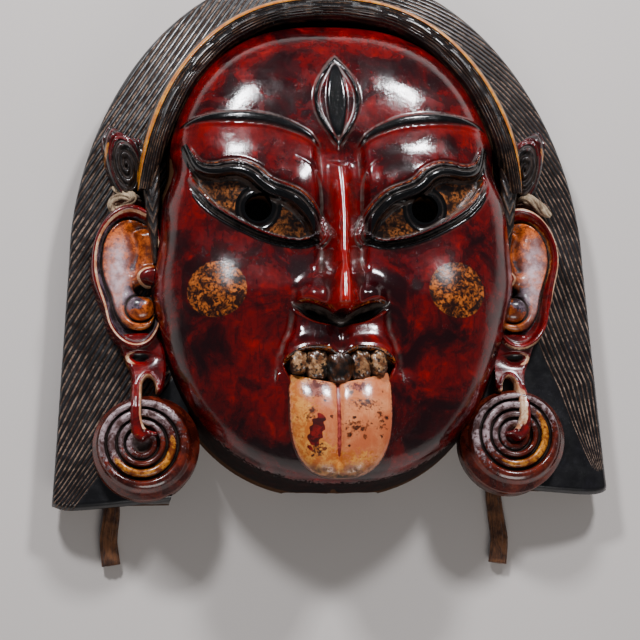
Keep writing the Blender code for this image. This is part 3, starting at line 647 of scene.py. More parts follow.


# %% [markdown]
# The same lines that shape the face also say where the painter went: black on the lids, brows
# and the leaf, gold on the eyes, the lip and two round cheek marks, grey where the lower lid is
# rubbed. They also say where light and shade are painted: a brighter red, as painted light, where
# the light catches the ridge under the brows and the crest of the nose, and black, as painted
# shade, on the underside of the nose. Each coat is stored as one number at each point.

# %% Where the coats of paint lie
def face_coats(x, y):
    """A dictionary of shares from 0 to 1, from distances to the carved lines."""
    cheek = np.hypot(np.abs(x + 2) - 84, y + 58.5)
    x = straighten(x, y)
    side = np.abs(x)
    above, along, over, opened = eye_fields(x, y)
    _, brow, below = brow_form(x, y)
    leaf_edge, heart = leaf_form(x, y)
    begun = step(along - 0.01, 0.02)
    near = step(side - 16, 4) * step(105 - side, 5)
    around = from_pupil(x, y)
    eye_black = begun * step(above + 6.6, 0.9) * step(6.0 - above, 0.9) * (1 - step(16 - side, 2))
    lower_black = near * step(over + 8.8, 1.0) * step(-2.5 - over, 1.0) * step(3 - above, 2)
    ring_black = opened * step(16.2 - around, 1.0)
    lips = step(mouth_half(y) - side, 2) * step(lip_edge(side) - y, 1.0) * step(y + 131, 6)
    # Painted shade: black on the underside of the nose, which turns away from the lights.
    nose_underside_shade = step(31 - side, 3) * step(-77.5 - y - 0.12 * side, 2.0) * step(y + 87 - 0.3 * side, 3)
    black = np.max([
        eye_black, lower_black, ring_black, brow, leaf_edge, heart, lips, nostrils(x, y),
        0.95 * nose_underside_shade,
    ], axis=0)
    lip_gold = 0.95 * ridge(y - lip_edge(side) - 1.6, 2.0) * step(39 - side, 2)
    lid_gold = 0.62 * begun * ridge(above - 6.9, 0.9) * step(0.93 - along, 0.1)
    corner = near * ridge(over + 1.2, 1.6) * (step(side - 82, 14) + step(32 - side, 8)) * 0.7
    wing_edge = ridge(nostril_reach(x, y) - 1.22, 0.22) * step(y + 75 - 0.35 * (side - 18), 2)
    nose_gold = 0.66 * step(32 - side, 3) * wing_edge * step(side - 5, 3)
    mark = step(20.5 - cheek, 1.4) * (1 - 0.43 * step(y + 56, 14))
    gold = np.max([lip_gold, lid_gold, corner, nose_gold, mark], axis=0)
    grey = near * ridge(over + 1.2, 1.0) * 0.75 * step(6 - above, 3) * step(84 - side, 14)
    # Painted light: a brighter red just below the brow's ridge and along the nose crest, where the
    # light catches them.
    painted_light = 0.30 * ridge(below - 4.5, 5.0) * step(side - 12, 6) * step(y - 40, 8)
    tip = (0.45 + 0.35 * step(-54 - y, 14)) * ridge(x, 6.5) * step(30 - y, 8) * step(y + 77, 4)
    painted_light = np.maximum(painted_light, tip) * (1 - clamp(black))
    white = opened * (1 - ring_black)
    return {"black": black, "gold": gold, "eye_white": white, "grey": grey, "painted_light": painted_light}


# %% [markdown]
# The block under the face is closed by walls down to the raw rim and by a flat foot. The rows of
# points lie closer together where the eyes and the mouth need them. The hollow, the pupils and
# the arch for the neck are cut out afterwards, as a carver would, with shapes that are bigger
# than the wood that they take away.

# %% Cutting
def cut_away(piece, cutters):
    """Subtracts closed bodies from a piece and keeps only the result."""
    for cutter in cutters:
        cut = piece.modifiers.new("cut", "BOOLEAN")
        cut.operation, cut.solver, cut.object = "DIFFERENCE", "EXACT", cutter
    graph = bpy.context.evaluated_depsgraph_get()
    finished = bpy.data.meshes.new_from_object(piece.evaluated_get(graph))
    piece.modifiers.clear()
    rough, piece.data = piece.data, finished
    bpy.data.meshes.remove(rough)
    finished.name = piece.name
    for cutter in cutters:
        bpy.data.objects.remove(cutter)


def ring(centre, radius, z, count):
    """A level circle of points."""
    x, y = centre[0] + radius * np.cos(circle(count)), centre[1] + radius * np.sin(circle(count))
    return np.stack([x, y, np.full(count, float(z))], -1)


def graded(low, high, count, zones):
    """Numbers from low to high that crowd together in the zones, each a middle, reach and gain."""
    fine = np.linspace(low, high, 2000)
    density = np.ones(len(fine))
    for middle, reach, gain in zones:
        density += gain * np.exp(-(((fine - middle) / reach) ** 4))
    total = np.concatenate([[0], np.cumsum((density[1:] + density[:-1]) / 2)])
    return np.interp(np.linspace(0, total[-1], count), total, fine)


# %% The face block
FACE_ROWS, FACE_COLUMNS, WALL_ROWS = 322, 278, 7
rows_y = graded(FACE_BOTTOM + 0.02, FACE_TOP - 0.02, FACE_ROWS, ((10, 58, 1.3), (-92, 26, 0.9)))
y = rows_y[:, None] * np.ones(FACE_COLUMNS)
x = half_width(y) * np.linspace(-1, 1, FACE_COLUMNS)
out = np.linspace(-1, 1, FACE_COLUMNS) ** 6
leant = x * (1 - 0.040 * out * ridge(y - 34, 17) + 0.030 * out * ridge(y + 50, 30))
top = np.stack([leant, y, face_height(x, y)], -1)
top[:, [0, -1], 2] = FACE_EDGE
hollow = hollowness(top[..., 2]) * step(0.965 - oval(x, y), 0.02)
drop = np.linspace(0, 1, WALL_ROWS + 1)[1:][None, :, None]
middle = np.array([0, FACE_MIDDLE, 0])


def side_wall(edge):
    """The wall under the edge of the face: it swells a little, then flares to the raw rim."""
    outward = edge - middle
    outward[..., 2] = 0
    outward /= np.linalg.norm(outward, axis=-1, keepdims=True)
    wall = edge + outward * (3.0 * drop**2 + 1.2 * np.sin(np.pi * drop))
    wall[..., 2] = FACE_EDGE * (1 - drop[..., 0])
    return wall


left_wall, right_wall = side_wall(top[:, :1].copy()), side_wall(top[:, -1:].copy())
block = np.concatenate([left_wall[:, ::-1], top, right_wall], axis=1)
hollow = np.pad(hollow, ((0, 0), (WALL_ROWS, WALL_ROWS)), mode="edge")
face = add_piece("face", [block], {"hollow": [hollow]})

# %% The hollow, the pupils and the neck arch
WALL, HOLLOW_POWER, PUPIL_RADIUS, ARCH_HALF, ARCH_RISE = 14.0, 2.4, 9.5, 35.0, 20.0
hollow_half = FACE_WIDTH / 2 - WALL
hollow_low, hollow_high = FACE_BOTTOM + WALL, FACE_TOP - WALL
hollow_middle, hollow_reach = (hollow_low + hollow_high) / 2, (hollow_high - hollow_low) / 2
swing = np.linspace(-np.pi / 2, np.pi / 2, 61)
y = (hollow_middle + hollow_reach * 0.999 * np.sin(swing))[:, None] * np.ones(49)
along = np.abs((y - hollow_middle) / hollow_reach) ** HOLLOW_POWER
x = hollow_half * (1 - along) ** (1 / HOLLOW_POWER) * np.linspace(-1, 1, 49)
out = (np.abs(x / hollow_half) ** HOLLOW_POWER + along) ** (1 / HOLLOW_POWER)
z = FACE_EDGE / 2 + (FACE_FRONT - WALL - FACE_EDGE / 2) * np.sqrt(clamp(1 - out**2.6))
bowl = np.stack([x, y, z], -1)
foot = bowl[:, [0, -1]].copy()
foot[..., 2] = -4
hollow = add_piece("hollow", [np.concatenate([foot[:, :1], bowl, foot[:, 1:]], axis=1)])
holes = add_piece("holes", [
    np.stack([ring((side * PUPIL[0] + 2.5, PUPIL[1]), PUPIL_RADIUS, z, 48) for z in (30, 125)])
    for side in (-1, 1)
])
angle = np.linspace(0, np.pi, 25)
arch_x = np.concatenate([ARCH_HALF * np.cos(angle), [-ARCH_HALF, ARCH_HALF]])
arch_z = np.concatenate([ARCH_RISE * np.sin(angle), [-10, -10]])
arch = np.stack([np.stack([arch_x, np.full(len(arch_x), y), arch_z], -1) for y in (-205.0, -125.0)])
arch = add_piece("arch", [arch])
cut_away(face, [hollow, holes, arch])


def of_points(mesh, what):
    """A vector of every point of a mesh, as one row of numbers for each axis."""
    values = np.empty(len(mesh.vertices) * 3, np.float32)
    mesh.vertices.foreach_get(what, values)
    return values.reshape(-1, 3).astype(float).T


x, y, z = of_points(face.data, "co") / MM
facing_down = -of_points(face.data, "normal")[2]
coats = face_coats(x, y)
deep = face_height(x, y) - z
coats["bare"] = np.maximum(step(deep - 7, 5) * (oval(x, y) < 0.985), step(facing_down - 0.08, 0.1))
# The rim coat is painted shade with a painted dark reflection: it darkens and dulls the steep walls
# under the face's edge, which turn away from the lights.
coats["rim"] = step(54 - z, 14) * step(oval(x, y) - 0.94, 0.05)
for key, values in coats.items():
    store(face.data, key, values)
face.data.shade_smooth()
face.data.set_sharp_from_angle(angle=np.radians(50))
print("the face keeps", [layer.name for layer in face.data.attributes])

# %% Red lacquer
red_lacquer = painted_wood(
    "red_lacquer", ((30, 2, 5), (112, 3, 5), (172, 14, 8)),
    [
        # rim: painted shade and dark reflection on the steep side walls.
        ("rim", (12, 4, 4), (44, 13, 10), 1.2, 0.64),
        ("gold", (38, 12, 5), (196, 104, 38), 0.55, 0.26),
        ("eye_white", (28, 12, 6), (180, 106, 52), 0.2, 0.28),
        ("black", (2, 2, 3), (12, 9, 9), 0.30, 0.15),
        ("grey", (28, 22, 24), (104, 94, 98), 0.9, 0.22),
    ],
    blotch=0.030, dusty=0.7, gloss=(0.09, 0.22),
    # The brighter red given here is painted light on the brow ridges and the nose crest.
    worn=(140, 26, 16), bare=True, painted_light=(200, 20, 12), fleck=(0.0062, 0.42),
)
dress(face, red_lacquer)

# %% [markdown]
# ## Tongue and teeth
#
# The long tongue lies down over the chin. Each row of points is a flattened loop, round at the
# edges, and the rows narrow to the tip. A groove runs down the middle of the upper side. The
# teeth are five small rounded bodies in the dark of the mouth, the middle ones longer.

# %% Tongue
TONGUE_HALF, TONGUE_BEND, TONGUE_TIP, TONGUE_FRONT = 36.0, -142.0, -190.5, 106.5
SEAM = -3.5
PITS = (
    (29, -150, 4.5), (30, -158, 4), (26, -163, 2.5), (3, -163, 3), (7, -151, 2), (14, -164, 2.6),
    (-14, -172, 2.2), (-22, -176, 2), (-29, -163, 1.8), (-22, -146, 4.6), (8, -158, 3.2),
    (24, -147, 3), (5, -133, 2.4), (16, -139, 2), (-9, -150, 2), (-13, -139, 1.8),
    (28, -132, 2.4), (3, -170, 1.6), (-32, -150, 2), (18, -155, 1.5), (30, -170, 1.5),
)
CLUSTERS = (
    (26, -152, 8, 17), (8, -157, 15, 9), (-24, -150, 9, 8), (14, -141, 20, 8), (-20, -172, 13, 9),
)


def superellipse(angle, power):
    """Cosine and sine raised to a power below 1, which makes a circle squarer."""
    c, s = np.cos(angle), np.sin(angle)
    return np.sign(c) * np.abs(c) ** power, np.sign(s) * np.abs(s) ** power


def tongue_root(x):
    """Where the tongue comes out of the mouth: lowest at the seam."""
    return -125.5 + 8.0 * (np.abs(x - SEAM) / 34) ** 1.6


turn = circle(220)
c = np.cos(turn)
s = np.sign(np.sin(turn)) * (1 - np.abs(c) ** 3.2) ** (1 / 3.2)
swing = np.linspace(0, np.pi / 2 - 0.03, 120)[:, None]
fall = np.linspace(0, 1, 60, endpoint=False)[:, None]
narrow = np.concatenate([np.ones_like(fall), (1 - np.sin(swing) ** 2.6) ** (1 / 2.6)])
waist = np.concatenate([0.955 + 0.045 * step(fall - 0.12, 0.3), np.ones_like(swing)])
x = TONGUE_HALF * narrow * waist * c - 1.5
start = tongue_root(x[:60])
round_tip = TONGUE_BEND + (TONGUE_TIP - TONGUE_BEND) * np.sin(swing) + 0 * c
y = np.concatenate([start + (TONGUE_BEND - start) * fall, round_tip])
risen = clamp((tongue_root(x) - y) / 36)
crown = TONGUE_FRONT - 9.5 * clamp((-125 - y) / 65) ** 2.2 - 9.0 * (1 - risen) ** 2
over = clamp(s)
from_seam = x - SEAM
channel = ridge(from_seam, 2.1) * step(-121 - y, 3) * step(y + 183, 6)
cushion = clamp(1 - ((np.abs(from_seam) - 16.5) / 17) ** 2)
z = crown - 11 + 11 * narrow**0.45 * s
z = z + over * (-2.2 * channel - 3.0 * (x / 36) ** 2 + 2.8 * cushion)
patch = np.hypot((x + 19.5 - 0.25 * (y + 160)) / 5.0, (y + 160) / 11.5)
patch = patch + 0.16 * np.sin(0.9 * y + 0.7 * x)
pits = np.max([hill(x - px, y - py, radius, radius) for px, py, radius in PITS], axis=0)
clusters = np.max([hill(x - px, y - py, *reach) for px, py, *reach in CLUSTERS], axis=0)
tongue = add_piece("tongue", [np.stack([x, y, z], -1)], {
    # The edge coat is painted shade: it darkens the rounded sides of the tongue where they turn down.
    "edge": [1 - step(s - 0.45, 0.3)],
    "yellow": [over * clamp(step(-20 - x, 22) + 0.6 * step(-168 - y, 14))],
    "smear": [0.80 * over * (hill(x + 20, y + 130, 14, 9) + 0.8 * hill(x - 12, y + 129, 14, 6))],
    "pitted": [over * np.maximum(pits * 0.72, clusters * 0.57)],
    "seam": [0.95 * over * ridge(from_seam, 1.7) * step(-122 - y, 5) * step(y + 178, 10)],
    "worn": [over * step(1 - patch, 0.20)],
    "hollow": [hollowness(z * over) + 0.6 * (1 - over)
               + over * (0.8 * step(-184 - y, 8) - 0.9 * pits - 1.2 * channel)],
})
tongue_paint = painted_wood(
    "tongue_paint", ((200, 102, 60), (236, 150, 98), (246, 176, 124)),
    [
        ("yellow", (196, 104, 40), (232, 156, 72), 0.9, 0.22),
        # edge: painted shade on the tongue's rounded sides.
        ("edge", (60, 18, 14), (132, 52, 38), 0.9, 0.3),
        ("smear", (96, 46, 42), (168, 100, 86), 0.9, 0.2),
        ("pitted", (44, 16, 8), (120, 56, 24), 0.9, 0.35),
        ("seam", (116, 30, 26), (172, 74, 64), 0.5, 0.3),
        ("worn", (60, 8, 8), (138, 18, 14), 0.25, 0.35),
    ],
    blotch=0.030, gloss=(0.14, 0.30),
)
dress(tongue, tongue_paint)

# %% Teeth
TEETH = (
    (-28.5, 6.2, 8.2), (-16.0, 8.2, 10.6), (-0.5, 9.2, 11.6), (14.2, 7.8, 10.6), (26.6, 6.6, 8.8),
)
lift = np.linspace(-np.pi / 2 + 0.02, np.pi / 2 - 0.02, 30)[:, None]
level, rise = np.cos(lift) ** 0.6, np.sign(np.sin(lift)) * np.abs(np.sin(lift)) ** 0.7
c, s = superellipse(circle(36)[None, :], 0.8)
bodies = []
for centre, half_tooth, half_long in TEETH:
    x = centre - 1.5 + half_tooth * level * c
    y = -113.0 - 0.12 * (10 - abs(centre)) + half_long * rise + 0 * x
    z = 95.0 + 8.0 * level * s + 0.8 * np.sin(0.9 * x + 0.5 * y)
    bodies.append(np.stack([x, y, z], -1))
teeth = add_piece("teeth", bodies, {
    "hollow": [clamp(0.25 + 0.05 * (98 - body[..., 2])) for body in bodies],
    # Darker on the middle teeth as stain, and darker on the lower, deeper parts of every tooth as
    # painted shade in the mouth.
    "stain": [
        0.32 + 0.4 * ridge(body[..., 0] + 1, 9) + 0.4 * step(101 - body[..., 2], 5) for body in bodies
    ],
})
tooth_paint = painted_wood(
    "tooth_paint", ((104, 60, 34), (192, 146, 102), (232, 206, 176)),
    # The dark coat is stain, with painted shade on the deeper parts of the teeth.
    [("stain", (14, 8, 5), (70, 36, 14), 1.1, 0.3)],
    blotch=0.007, gloss=(0.15, 0.3),
)
dress(teeth, tooth_paint)

# %% [markdown]
# ## Relief plates
#
# The ears with their long lobes and the scrolls over them are carved out of the hair board. Each
# is made as a plate: a grid of heights over a rectangle. Outside the form's drawn outline the
# height drops below the board, so only the form itself shows, with steep sides.

# %% A height grid with a flat foot
BOARD_TOP = 22


def add_plate(name, x_range, y_range, cell, form, side, foot_z, material):
    """A closed body from a function that gives the height and the coats at each grid point of one
    side, the left (-1) or the right (1)."""
    columns = int((x_range[1] - x_range[0]) / cell) + 1
    rows = int((y_range[1] - y_range[0]) / cell) + 1
    x, y = np.meshgrid(np.linspace(*x_range, columns), np.linspace(*y_range, rows))
    z, coats = form(x, y, side)
    coats["hollow"] = np.clip(hollowness(z), -1, 1) * (z > foot_z + 14)
    top = np.stack([x, y, z], -1)
    foot = top[:, [0, -1]].copy()
    foot[..., 2] = foot_z
    body = np.concatenate([foot[:, :1], top, foot[:, 1:]], axis=1)
    coats = {key: [np.pad(value, ((0, 0), (1, 1)), mode="edge")] for key, value in coats.items()}
    dress(add_piece(name, [body], coats, 40), material)


def closed(points):
    """A line that ends where it starts."""
    return (*points, points[0])


# %% [markdown]
# ## Ears and hanging lobes
#
# Each ear is a tall kidney shape. Its rim is a red roll with a cream line on the crest, then
# comes a grey-red channel, then an orange shell with a swelling in the middle, a deep fold, the
# ear hole, and a round boss below it. A red fork hangs from the ear. Its long leg narrows, runs
# over the ear disc and ends in a hook at the middle of it. Its short leg ends over the disc's
# edge.

# %% Lines of the ear, drawn for one side, x away from the face
EAR_RIM = (
    (130, 8), (139, 13.5), (148, 14.5), (158, 9.5), (166, 0), (171.5, -13), (173.5, -27), (173, -40),
    (169.5, -52), (165, -63), (162, -75), (156, -85), (147, -91.5), (137, -92), (128, -85),
    (122, -66), (122, -30), (124, -6),
)
SHELL = (
    (130, -1), (142, 3.5), (152, 2.5), (160, -4.5), (165, -16), (166, -31), (163.5, -43), (159, -54),
    (156.5, -64), (152, -72.5), (145, -78), (135, -78.5), (128, -71), (125, -40),
)
FORK = (
    (154, -86), (148.5, -101), (145, -110), (145, -122), (146, -134), (146, -146), (144.5, -154.5),
    (140.5, -158.6), (135.5, -159.6), (131, -156.6), (126.5, -156), (125.5, -153), (130, -151.8),
    (134.5, -149.5), (136.8, -142), (136.8, -131), (136.6, -120), (135.4, -114.8), (132.5, -112.2),
    (129.8, -114), (128, -118), (127, -123.5), (123.5, -124), (120.5, -117), (119, -104), (121, -90),
    (127, -80), (149, -80),
)
SLOT_EDGE = (
    (127.3, -123), (128.2, -117), (130.2, -113.4), (132.5, -111.6), (135, -113.6), (137.4, -119),
    (137.6, -134), (137.6, -143), (135.6, -150.6),
)
LEG_EDGE = (
    (157, -84), (149, -101), (145.6, -110), (145.6, -122), (146.4, -134), (146.4, -146), (145, -154),
)
FOLD = ((134, -1), (143.5, -5), (141, -14), (141, -23), (144, -32))
FORK_LEVEL = ((84, 96, 108, 118, 128, 136, 160), (46, 47.5, 49.5, 52, 58.5, 61, 61.5))


def lean_in(x, y, side):
    """The right ear sits closer to the face and is more pinched in the middle."""
    if side < 0:
        return np.abs(x)
    return np.abs(x) + 6.5 + 2.5 * ridge(y + 44, 14) * step(np.abs(x) - 148, 12)


def ear_form(x, y, side):
    """Heights and coats of an ear and its fork. The share is 0 on the rim and 1 on the shell's
    edge, and low is 1 at the lobe."""
    x = lean_in(x, y, side)
    inside, _ = from_line(x, y, closed(EAR_RIM), 72)
    shell, _ = from_line(x, y, closed(SHELL), 60)
    fold, _ = from_line(x, y, FOLD, 24)
    band = np.clip(inside, 0, None) + np.clip(-shell, 0, None) + 0.01
    share = np.clip(inside, 0, None) / band
    low = step(-54 - y, 22)
    from_crest = (share - 0.36 + 0.20 * low) * band
    roll = 44 + 8.5 * ridge(from_crest, 4.2) - 3.6 * step(share - 0.80 + 0.25 * low, 0.24)

    from_boss = np.hypot((x - 138.0) / 9.8, (y + 62.0) / 9.2)
    from_tragus = np.hypot((x - 129) / 11, (y + 39.5) / 7)
    tragus, pit = step(1 - from_tragus, 0.5), hill(x - 136, y + 48.5, 7.0, 4.6)
    floor = 46.0 + 3.4 * hill(x - 155, y + 30, 8, 26) + 2.0 * ridge(shell - 1.0, 1.1)
    floor = floor - 5.5 * ridge(fold, 4.0) - 13 * pit + 5.5 * tragus
    floor = floor + 6.5 * np.sqrt(clamp(1 - from_boss**2)) - 2.5 * ridge(from_boss - 1.1, 0.1)
    floor = floor + 2.6 * ridge(from_boss - 1.42, 0.24) * step(-58 - y, 12)
    ear = np.where(shell > 0, roll + (floor - roll) * step(shell - 0.6, 2.0), roll)
    ear = BOARD_TOP + (ear - BOARD_TOP) * step(inside + 0.1, 1.3)

    fork, _ = from_line(x, y, closed(FORK), 140)
    slot, _ = from_line(x, y, SLOT_EDGE, 40)
    leg, _ = from_line(x, y, LEG_EDGE, 36)
    crescent = hill(x - 138, y + 97.5, 8.5, 5.0) * step(-93.5 - y - 0.02 * (x - 138) ** 2, 1.2)
    level = np.interp(-y, *FORK_LEVEL) + 1.6 * ridge(np.abs(slot) - 1.0, 1.5) - 5.0 * crescent
    level = level - 1.8 * np.sqrt(clamp(1 - np.clip(fork, 0, 2.4) / 2.4))
    in_fork = step(fork, 1.1)
    z = np.maximum(ear, BOARD_TOP + (level - BOARD_TOP) * in_fork)
    own = in_fork * step(level - ear, 0.8)
    other = 1 - own
    in_shell = step(shell - 0.4, 1.4) * other

    line_at = 0.8 + 1.2 * step(y + 5, 20) if side < 0 else -1.4
    rim_line = ridge(from_crest - line_at, 0.95 - 0.2 * low) * step(inside, 1) * other
    slot_line = own * step(1.5 - np.abs(slot), 0.8) * (1.0 - 0.35 * step(y + 120, 6))
    crescent_line = 0.8 * own * ridge(crescent - 0.3, 0.16) * step(x - 141, 4)
    tragus_line = ridge(from_tragus - 0.97, 0.10) * step(x - 130, 2) * in_shell
    rubbed_leg = 0.8 * own * step(5.5 - np.abs(slot), 2) * step(-121 - y, 6) * step(y + 150, 8)
    cream = np.max([
        rim_line, slot_line, crescent_line, tragus_line, rubbed_leg * (side > 0),
    ], axis=0)
    gilt = own * (0.9 * step(1.3 - np.abs(leg), 0.8) + 0.5 * hill(x - 142, y + 156, 4, 3))
    gilt = gilt + 0.7 * ridge(shell + 1.2 - 3 * low, 0.9) * (low if side < 0 else 1) * other
    smoky = 0.9 * hill(x - 147, y + 51, 6, 12) + 0.95 * hill(x - 141, y + 59, 9, 7)
    smoky = in_shell * (smoky + 0.8 * ridge(fold, 3.4) * step(-18 - y, 10) * in_shell)
    reach = 0.80 - 0.26 * step(-6 - y, 12) - 0.14 * low if side < 0 else 0.88
    channel = step(share - reach, 0.14) * step(0.8 - shell, 1.2) * other
    # Painted shade: dark in the ear hole, in the hollow of the fork, along the step at the shell's edge
    # and in the groove round the boss.
    dark = 1.4 * pit + 0.8 * crescent + 0.8 * ridge(shell - 0.4, 0.8) * other
    dark = dark + 0.8 * ridge(from_boss - 1.1, 0.12) * in_shell
    return z, {
        "shell": in_shell * (1 - 0.8 * tragus),
        # Painted light: a pale pinkish sheen on the middle of the shell, where the lights are mirrored.
        "painted_light": clamp(in_shell * hill(x - 154, y + 36, 7.5, 26) * step(-13 - y, 14)),
        "smoky": clamp(smoky * 0.7 + 0.85 * channel),
        "dark": clamp(dark),
        "gilt": clamp(gilt),
        "cream": clamp(cream),
    }


ear_lacquer = painted_wood(
    "ear_lacquer", ((74, 5, 8), (132, 8, 10), (158, 26, 34)),
    [
        ("shell", (104, 40, 12), (208, 100, 30), 0.35, 0.24),
        ("smoky", (38, 30, 38), (124, 104, 118), 0.8, 0.22),
        # dark: painted shade in the ear's recesses.
        ("dark", (8, 5, 5), (30, 18, 16), 0.4, 0.3),
        ("gilt", (120, 50, 14), (206, 128, 58), 0.9, 0.3),
        ("cream", (196, 132, 92), (240, 206, 170), 0.30, 0.35),
    ],
    # The pale tone given here is a painted sheen on the shell.
    blotch=0.012, gloss=(0.14, 0.30), painted_light=(228, 202, 208),
)
for side, name, reach in ((-1, "ear_left", (-178.0, -116.0)), (1, "ear_right", (116.0, 172.0))):
    add_plate(name, reach, (-163.0, 18.0), 0.56, ear_form, side, 17.0, ear_lacquer)

# %% [markdown]
# ## Ear discs
#
# A disc is turned, so its form is a profile carried round an axis: a bulging drum, then three
# swelling rings parted by narrow cuts, then a dish with a deeper middle. A little wobble in the
# ring radius keeps it a thing cut by hand.

# %% Discs
DISC_CUTS = ((25.2, 1.3, 4.0), (17.6, 1.2, 4.0), (11.8, 1.1, 3.4))
DISC_SWELLS = ((21.4, 2.6, 0.8), (29.0, 2.4, 0.7), (14.7, 1.8, 0.6))


def disc_profile(r):
    """Height at a distance from the axis. Cuts and swells are each a radius, a width and a depth
    or height."""
    z = 58 - 2.2 * step(r - 32.6, 1.2) - 14.5 * step(r - 36.6, 8)
    z = z - 2.6 * step(12.0 - r, 1.6) - 4.9 * step(6.2 - r, 2.0)
    z = z - sum(depth * ridge(r - cut, width) for cut, width, depth in DISC_CUTS)
    return z + sum(height * ridge(r - swell, width) for swell, width, height in DISC_SWELLS)


disc_lacquer = painted_wood(
    "disc_lacquer", ((56, 14, 8), (114, 36, 20), (150, 68, 34)),
    [
        # The silver-grey coat is paint with a painted sheen on the side towards the lights.
        ("silver_and_sheen", (76, 52, 50), (182, 160, 164), 1.0, 0.20),
        ("gold", (110, 48, 12), (216, 140, 46), 0.8, 0.24),
        ("black", (8, 5, 5), (36, 24, 20), 0.5, 0.35),
    ],
    blotch=0.012, gloss=(0.16, 0.32), worn=(112, 66, 48),
)
DISC_FOOT, DISC_WALL = 29, 33
DISCS = (
    (-1, "disc_left", (-136.5, -161.5), (2.8, -1.2)),
    (1, "disc_right", (128.5, -155.5), (-1.2, -3.2)),
)
r = np.concatenate([np.linspace(37.4, 36.4, 5, endpoint=False), np.linspace(36.4, 0.4, 100)])[:, None]
angle = circle(144)[None, :]
wobble = r * (1 + 0.018 * np.sin(2 * angle + 0.6) + 0.012 * np.sin(3 * angle))
inner = wobble + 1.1 * np.cos(angle + 0.9) * step(30 - r, 14)
z = disc_profile(inner)
z[0] = DISC_WALL
ring_share = step(31.8 - inner, 1.0)
in_cut = sum(ridge(inner - cut, width) for cut, width, _ in DISC_CUTS)
for side, name, centre, offset in DISCS:
    aside = step(r - 33, 7)
    x = centre[0] + offset[0] * aside + wobble * np.cos(angle)
    y = centre[1] + offset[1] * aside + wobble * np.sin(angle)
    body = np.stack([x, y, z], -1)
    foot = body[:1].copy()
    foot[..., 2] = DISC_FOOT
    golden = ridge(inner - 21.4, 3.2) * step(-np.sin(angle - 0.65 - 0.3 * side) - 0.1, 1.2)
    coats = {
        # Silver-grey paint on the rings, laid heavier on the upper side that faces the lights: part of
        # it is a painted sheen.
        "silver_and_sheen": ring_share * (0.52 + 0.34 * np.sin(angle - 0.5)),
        "gold": ring_share * golden,
        "black": ring_share * step(in_cut - 0.45, 0.25),
        "hollow": np.clip(hollowness(z, 1) * 2.0 + 0.5 * step(6.6 - inner, 2), -1, 1),
    }
    coats = {key: [np.vstack([value[:1], value])] for key, value in coats.items()}
    dress(add_piece(name, [np.concatenate([foot, body])], coats, 45), disc_lacquer)

# %% [markdown]
# ## Scrolls over the ears
#
# Beside each end of the diadem stands a drop-shaped scroll. Its top is red, a band of dusty
# black wraps round it, and an oval coil is cut into its side.

# %% Scrolls
SCROLL = (
    (166.5, 64), (164.5, 52), (161.5, 39), (156.5, 27), (149, 20.5), (141, 26), (136, 40),
    (134.5, 54), (138, 64.5), (146, 66), (152, 70), (161, 74.5),
)


def scroll_form(x, y, side):
    """Nested ovals round the eye of the coil, in a drop-shaped outline."""
    x = np.abs(x) + (5.0 if side > 0 else 0.0)
    inside, _ = from_line(x, y, closed(SCROLL), 60)
    u, v = (x - 148.5 - 0.18 * (y - 43)) / 6.4, (y - 43) / 13.5
    from_eye = np.hypot(u, v)
    coil = 0.5 + 0.5 * np.cos(2 * np.pi * from_eye * 2.0 - np.arctan2(v, u))
    in_coil = step(1.55 - from_eye, 0.2)
    outer_cut = ridge(from_eye - 2.3, 0.12)
    z = 51 - 7.5 * clamp(1 - inside / 10) ** 2
    z = z - 3.4 * in_coil * (1 - coil) - 1.8 * ridge(from_eye - 1.62, 0.12) - 1.6 * outer_cut
    z = BOARD_TOP + (z - BOARD_TOP) * step(inside + 0.1, 1.2)
    top = step(y - 55 - 0.4 * (150 - x), 5)
    outer_gold = ridge(x - 162.5 + 0.22 * (y - 55), 1.5) * step(y - 38, 4) * step(60 - y, 4)
    inner_gold = ridge(x - 139.0 + 0.10 * (y - 45), 0.9) * step(y - 30, 4) * step(58 - y, 4)
    return z, {
        "smoky": clamp(in_coil * 0.9 + ridge(from_eye - 1.95, 0.22)) * (1 - 0.4 * top),
        "gold": 0.9 * outer_gold + 0.7 * inner_gold,
        "black": clamp(in_coil * (1 - coil) + outer_cut),
    }


scroll_lacquer = painted_wood(
    "scroll_lacquer", ((56, 6, 10), (108, 18, 24), (132, 44, 48)),
    [
        ("smoky", (20, 17, 17), (66, 58, 56), 0.8, 0.30),
        ("black", (7, 5, 5), (24, 18, 18), 0.3, 0.3),
        ("gold", (150, 78, 20), (220, 142, 44), 0.7, 0.3),
    ],
    blotch=0.010, gloss=(0.15, 0.3),
)
for side, name, reach in ((-1, "scroll_left", (-169.0, -132.0)), (1, "scroll_right", (127.0, 164.0))):
    add_plate(name, reach, (20.0, 76.0), 0.45, scroll_form, side, 15.0, scroll_lacquer)

# %% [markdown]
# ## The hair
#
# The hair is one slab behind the face. Its outer edge rises almost straight from the foot and
# bends over the crown. On the left board straight cuts run slantwise and gather at the outer
# corner. On the right they follow the outer edge in long curves and gather at its corner, and a
# smooth black field is left beside the disc. The dust in the cuts makes them read as thin lines.

# %% Edges of the slab and the lines cut in it
HAIR_FOOT = -205.0


def board_edge(share, foot_x, knee, rise, bend, powers):
    """An edge from the foot (0) to the middle of the crown (1): straight up to the bend at the
    knee, and then a quarter of an oval."""
    foot, knee = np.array([foot_x, HAIR_FOOT]), np.array(knee)
    low = clamp(share / bend)[:, None]
    turn = clamp((share - bend) / (1 - bend)) * np.pi / 2
    arc = np.stack([knee[0] * np.cos(turn) ** powers[0], knee[1] + rise * np.sin(turn) ** powers[1]], 1)
    return np.where(share[:, None] < bend, foot + (knee - foot) * low, arc)


